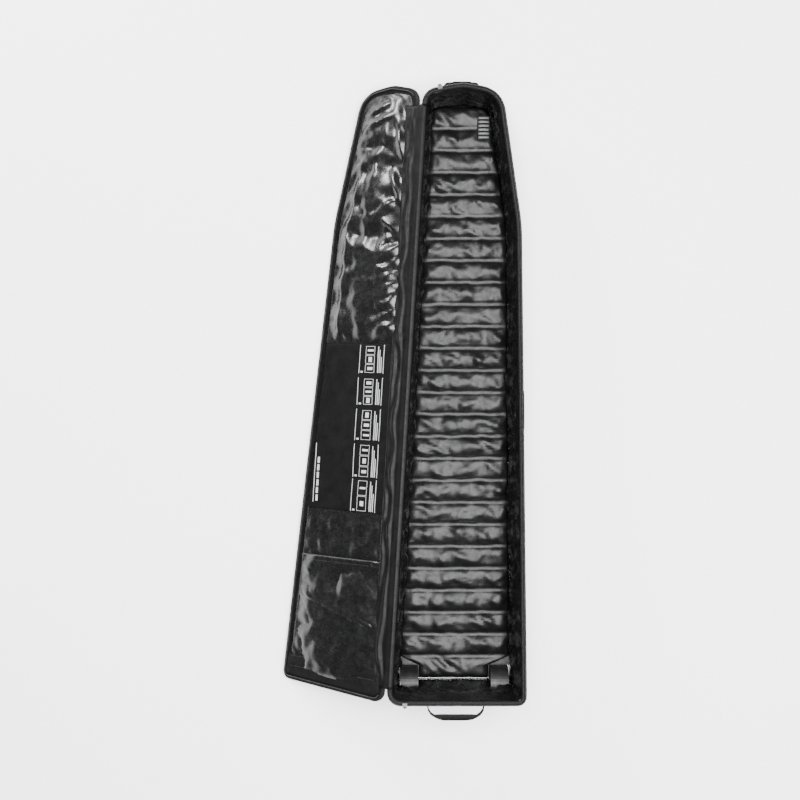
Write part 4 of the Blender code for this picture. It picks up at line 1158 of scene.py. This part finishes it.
def softened(node, name, edge, material, slot, body):
    """A copy of a CAD node with its sharp edges rounded, which takes the node's place."""
    mesh = NODES[node].data.copy()
    shape = bmesh.new()
    shape.from_mesh(mesh)
    bmesh.ops.remove_doubles(shape, verts=shape.verts, dist=1e-5)
    bmesh.ops.dissolve_limit(shape, angle_limit=0.02, verts=shape.verts, edges=shape.edges)
    sharp = [e for e in shape.edges if len(e.link_faces) == 2 and e.calc_face_angle() > 0.6]
    bmesh.ops.bevel(shape, geom=sharp, offset=edge, segments=3, profile=0.5,
                    affect="EDGES", clamp_overlap=True)
    bmesh.ops.recalc_face_normals(shape, faces=shape.faces)
    shape.to_mesh(mesh)
    shape.free()
    mesh.materials.clear()
    mesh.materials.append(material)
    mesh.shade_smooth()
    mesh.set_sharp_from_angle(angle=0.7)
    return belongs(linked(name, mesh), body, slot, node)


def surface_of(piece):
    """A piece's faces, ready to be met by rays."""
    mesh = piece.data
    return BVHTree.FromPolygons([v.co for v in mesh.vertices], [p.vertices for p in mesh.polygons])


def seen_along(name, outward):
    """Middle, sideways way and half sizes of a CAD node, seen along outward."""
    low, high = (Vector(corner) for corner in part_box(name))
    along = Vector((0, 0, 1)).cross(outward)
    return (low + high) / 2, along, abs((high - low).dot(along)) / 2, (high.z - low.z) / 2


def make_handle_sleeve(word, outward):
    """Padded grip sleeve round the middle of a carry handle."""
    handle = word + "_handle"
    surface = surface_of(NODES[handle])
    middle, along, half, tall = seen_along(handle, outward)
    half *= SLEEVE_SHARE
    rings = []
    for share in np.linspace(-1.0, 1.0, 25):
        spot = middle + along * (share * half)
        outer = surface.ray_cast(spot + outward * 0.2, -outward)[0]
        swell = 0.0034 * (1 - abs(share) ** 6) ** 0.5 + 0.0008
        centre = outer - outward * 0.002
        ring = []
        for turn in np.linspace(0, 2 * math.pi, 14, endpoint=False):
            across, rise = math.cos(turn), math.sin(turn)
            across = math.copysign(abs(across) ** 0.6, across) * (0.0018 + swell)
            rise = math.copysign(abs(rise) ** 0.6, rise) * (tall + 0.0016)
            ring.append(centre + outward * across + Vector((0, 0, rise)))
        rings.append(ring)
    sleeve = swept(handle + "_sleeve", np.array(rings), SHELL, closed=False)
    belongs(sleeve, handle, "shell")


def make_patch(word, outward):
    """Webbing patch under a handle, moulded to the wall, with its outline and box stitches."""
    name = word + "_handle_patch"
    wall, plate = surface_of(OUTER), surface_of(NODES[name])
    middle, along, half, tall = seen_along(name, outward)

    def surface(a, b, proud):
        """A point on the patch at shares a and b of its half sizes."""
        spot = middle + along * (a * half) + Vector((0, 0, b * tall))
        place = wall.ray_cast(spot + outward * 0.2, -outward)[0]
        level = plate.ray_cast(spot + outward * 0.2, -outward)[0]
        lift = PATCH_LIFTS[0]
        if level is not None:
            lift = min(max((level - place).dot(outward), lift), PATCH_LIFTS[1])
        edge = (1 - max(abs(a) ** 24, abs(b) ** 10)) ** 0.5
        return np.array(place + outward * (lift * edge + proud))

    shares = np.sin(np.linspace(-0.5, 0.5, 41) * math.pi)
    heights = np.sin(np.linspace(-0.5, 0.5, 17) * math.pi)
    front = np.array([[surface(a, b, 0.0) for b in heights] for a in shares])
    back = front - np.array(outward) * PATCH_THICKNESS
    belongs(slab(word + "_patch", front, back, WEBBING), "bag", "webbing", name)
    rows = []
    for left, right, bottom, top in BOX_STITCHES:
        corners = [(left, bottom), (right, bottom), (right, top), (left, top), (left, bottom)]
        sides = list(zip(corners, corners[1:]))
        if right - left < 1.0:
            sides += [((left, bottom), (right, top)), ((left, top), (right, bottom))]
        for start, end in sides:
            steps = np.linspace(0, 1, 24)
            path = [surface(*(np.array(start) * (1 - k) + np.array(end) * k), 0.0001) for k in steps]
            rows.append((np.array(path), np.array(outward)))
    stitches(word + "_patch_stitches", rows, "bag", "webbing")


def make_handles():
    """Carry handles of doubled webbing, their sleeves and their patches."""
    for word, outward in HANDLES.items():
        softened(word + "_handle", word + "_handle_webbing", 0.0006, WEBBING, "webbing", word + "_handle")
        make_handle_sleeve(word, Vector(outward))
        make_patch(word, Vector(outward))


def make_ladder():
    """Daisy chain of pale loops on a black patch at the head of the floor."""
    low, high = (np.array(corner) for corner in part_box("gear_ladder"))
    softened("gear_ladder", "ladder_patch", 0.0007, WEBBING, "webbing", "bag")
    width = (high[0] - low[0]) * 0.84
    middle = (low[0] + high[0]) / 2
    for k in range(LADDER_LOOPS):
        y = low[1] + (high[1] - low[1]) * (k + 0.6) / (LADDER_LOOPS + 0.2)
        rings = []
        for share in np.linspace(-1.0, 1.0, 13):
            arch = 0.0032 * math.cos(share * math.pi / 2) ** 0.6
            centre = np.array([middle + share * width / 2, y, high[2] + 0.0006 + arch])
            rings.append([centre + np.array([0, b, c]) for b, c in LADDER_SECTION])
        loop = swept(f"ladder_loop_{k + 1}", np.array(rings), PALE_WEBBING, closed=False)
        belongs(loop, "bag", "webbing")


def dress(material, *names):
    """Give CAD nodes that stay in view a better material."""
    for name in names:
        for slot in NODES[name].material_slots:
            slot.link = "OBJECT"
            slot.material = material


def make_fittings():
    """Back, floor loop, tray and wheels."""
    softened("back_panel", "back_padding", 0.0025, SHELL, "shell", "bag")
    softened("inner_loop", "inner_strap", 0.0005, WEBBING, "webbing", "bag")
    make_ladder()
    dress(MOULDING, "wheel_tray", "wheel_housing_left", "wheel_housing_right", "hub_left", "hub_right")
    dress(TYRE, "tyre_left", "tyre_right")
    dress(STEEL, "axle_left", "axle_right")
    dress(STEEL, *(f"bearing_{side}_{place}" for side in ("left", "right") for place in ("inner", "outer")))
    dress(ZIP, "slider_foot", "slider_head", "pull_tab_foot", "pull_tab_head")


make_rims()
make_lid_rims()
make_lid_shell()
make_lid_lining()
make_print_panel()
POCKET, POCKET_HEIGHT = make_pocket()
FOOT_PANEL, FOOT_PANEL_HEIGHT = make_foot_panel()
make_gusset()
make_handles()
make_fittings()
stitches("floor_stitches", [
    (FLOOR_TOP[row, 2:-2] + UP * 0.0005, UP)
    for row in range(ROWS_PER_RIB, len(FLOOR_TOP) - 1, ROWS_PER_RIB)], "bag", "lining")
stitches("lid_stitches", [
    (station_row(POCKET, POCKET_HEIGHT, POCKET_END - HEM_WIDTH), AXIS_N),
    (station_row(FOOT_PANEL, FOOT_PANEL_HEIGHT, FOOT_PANEL_SEAMS[0]), AXIS_N),
    (station_row(FOOT_PANEL, FOOT_PANEL_HEIGHT, FOOT_PANEL_SEAMS[1]), AXIS_N)], "lid", "lining")
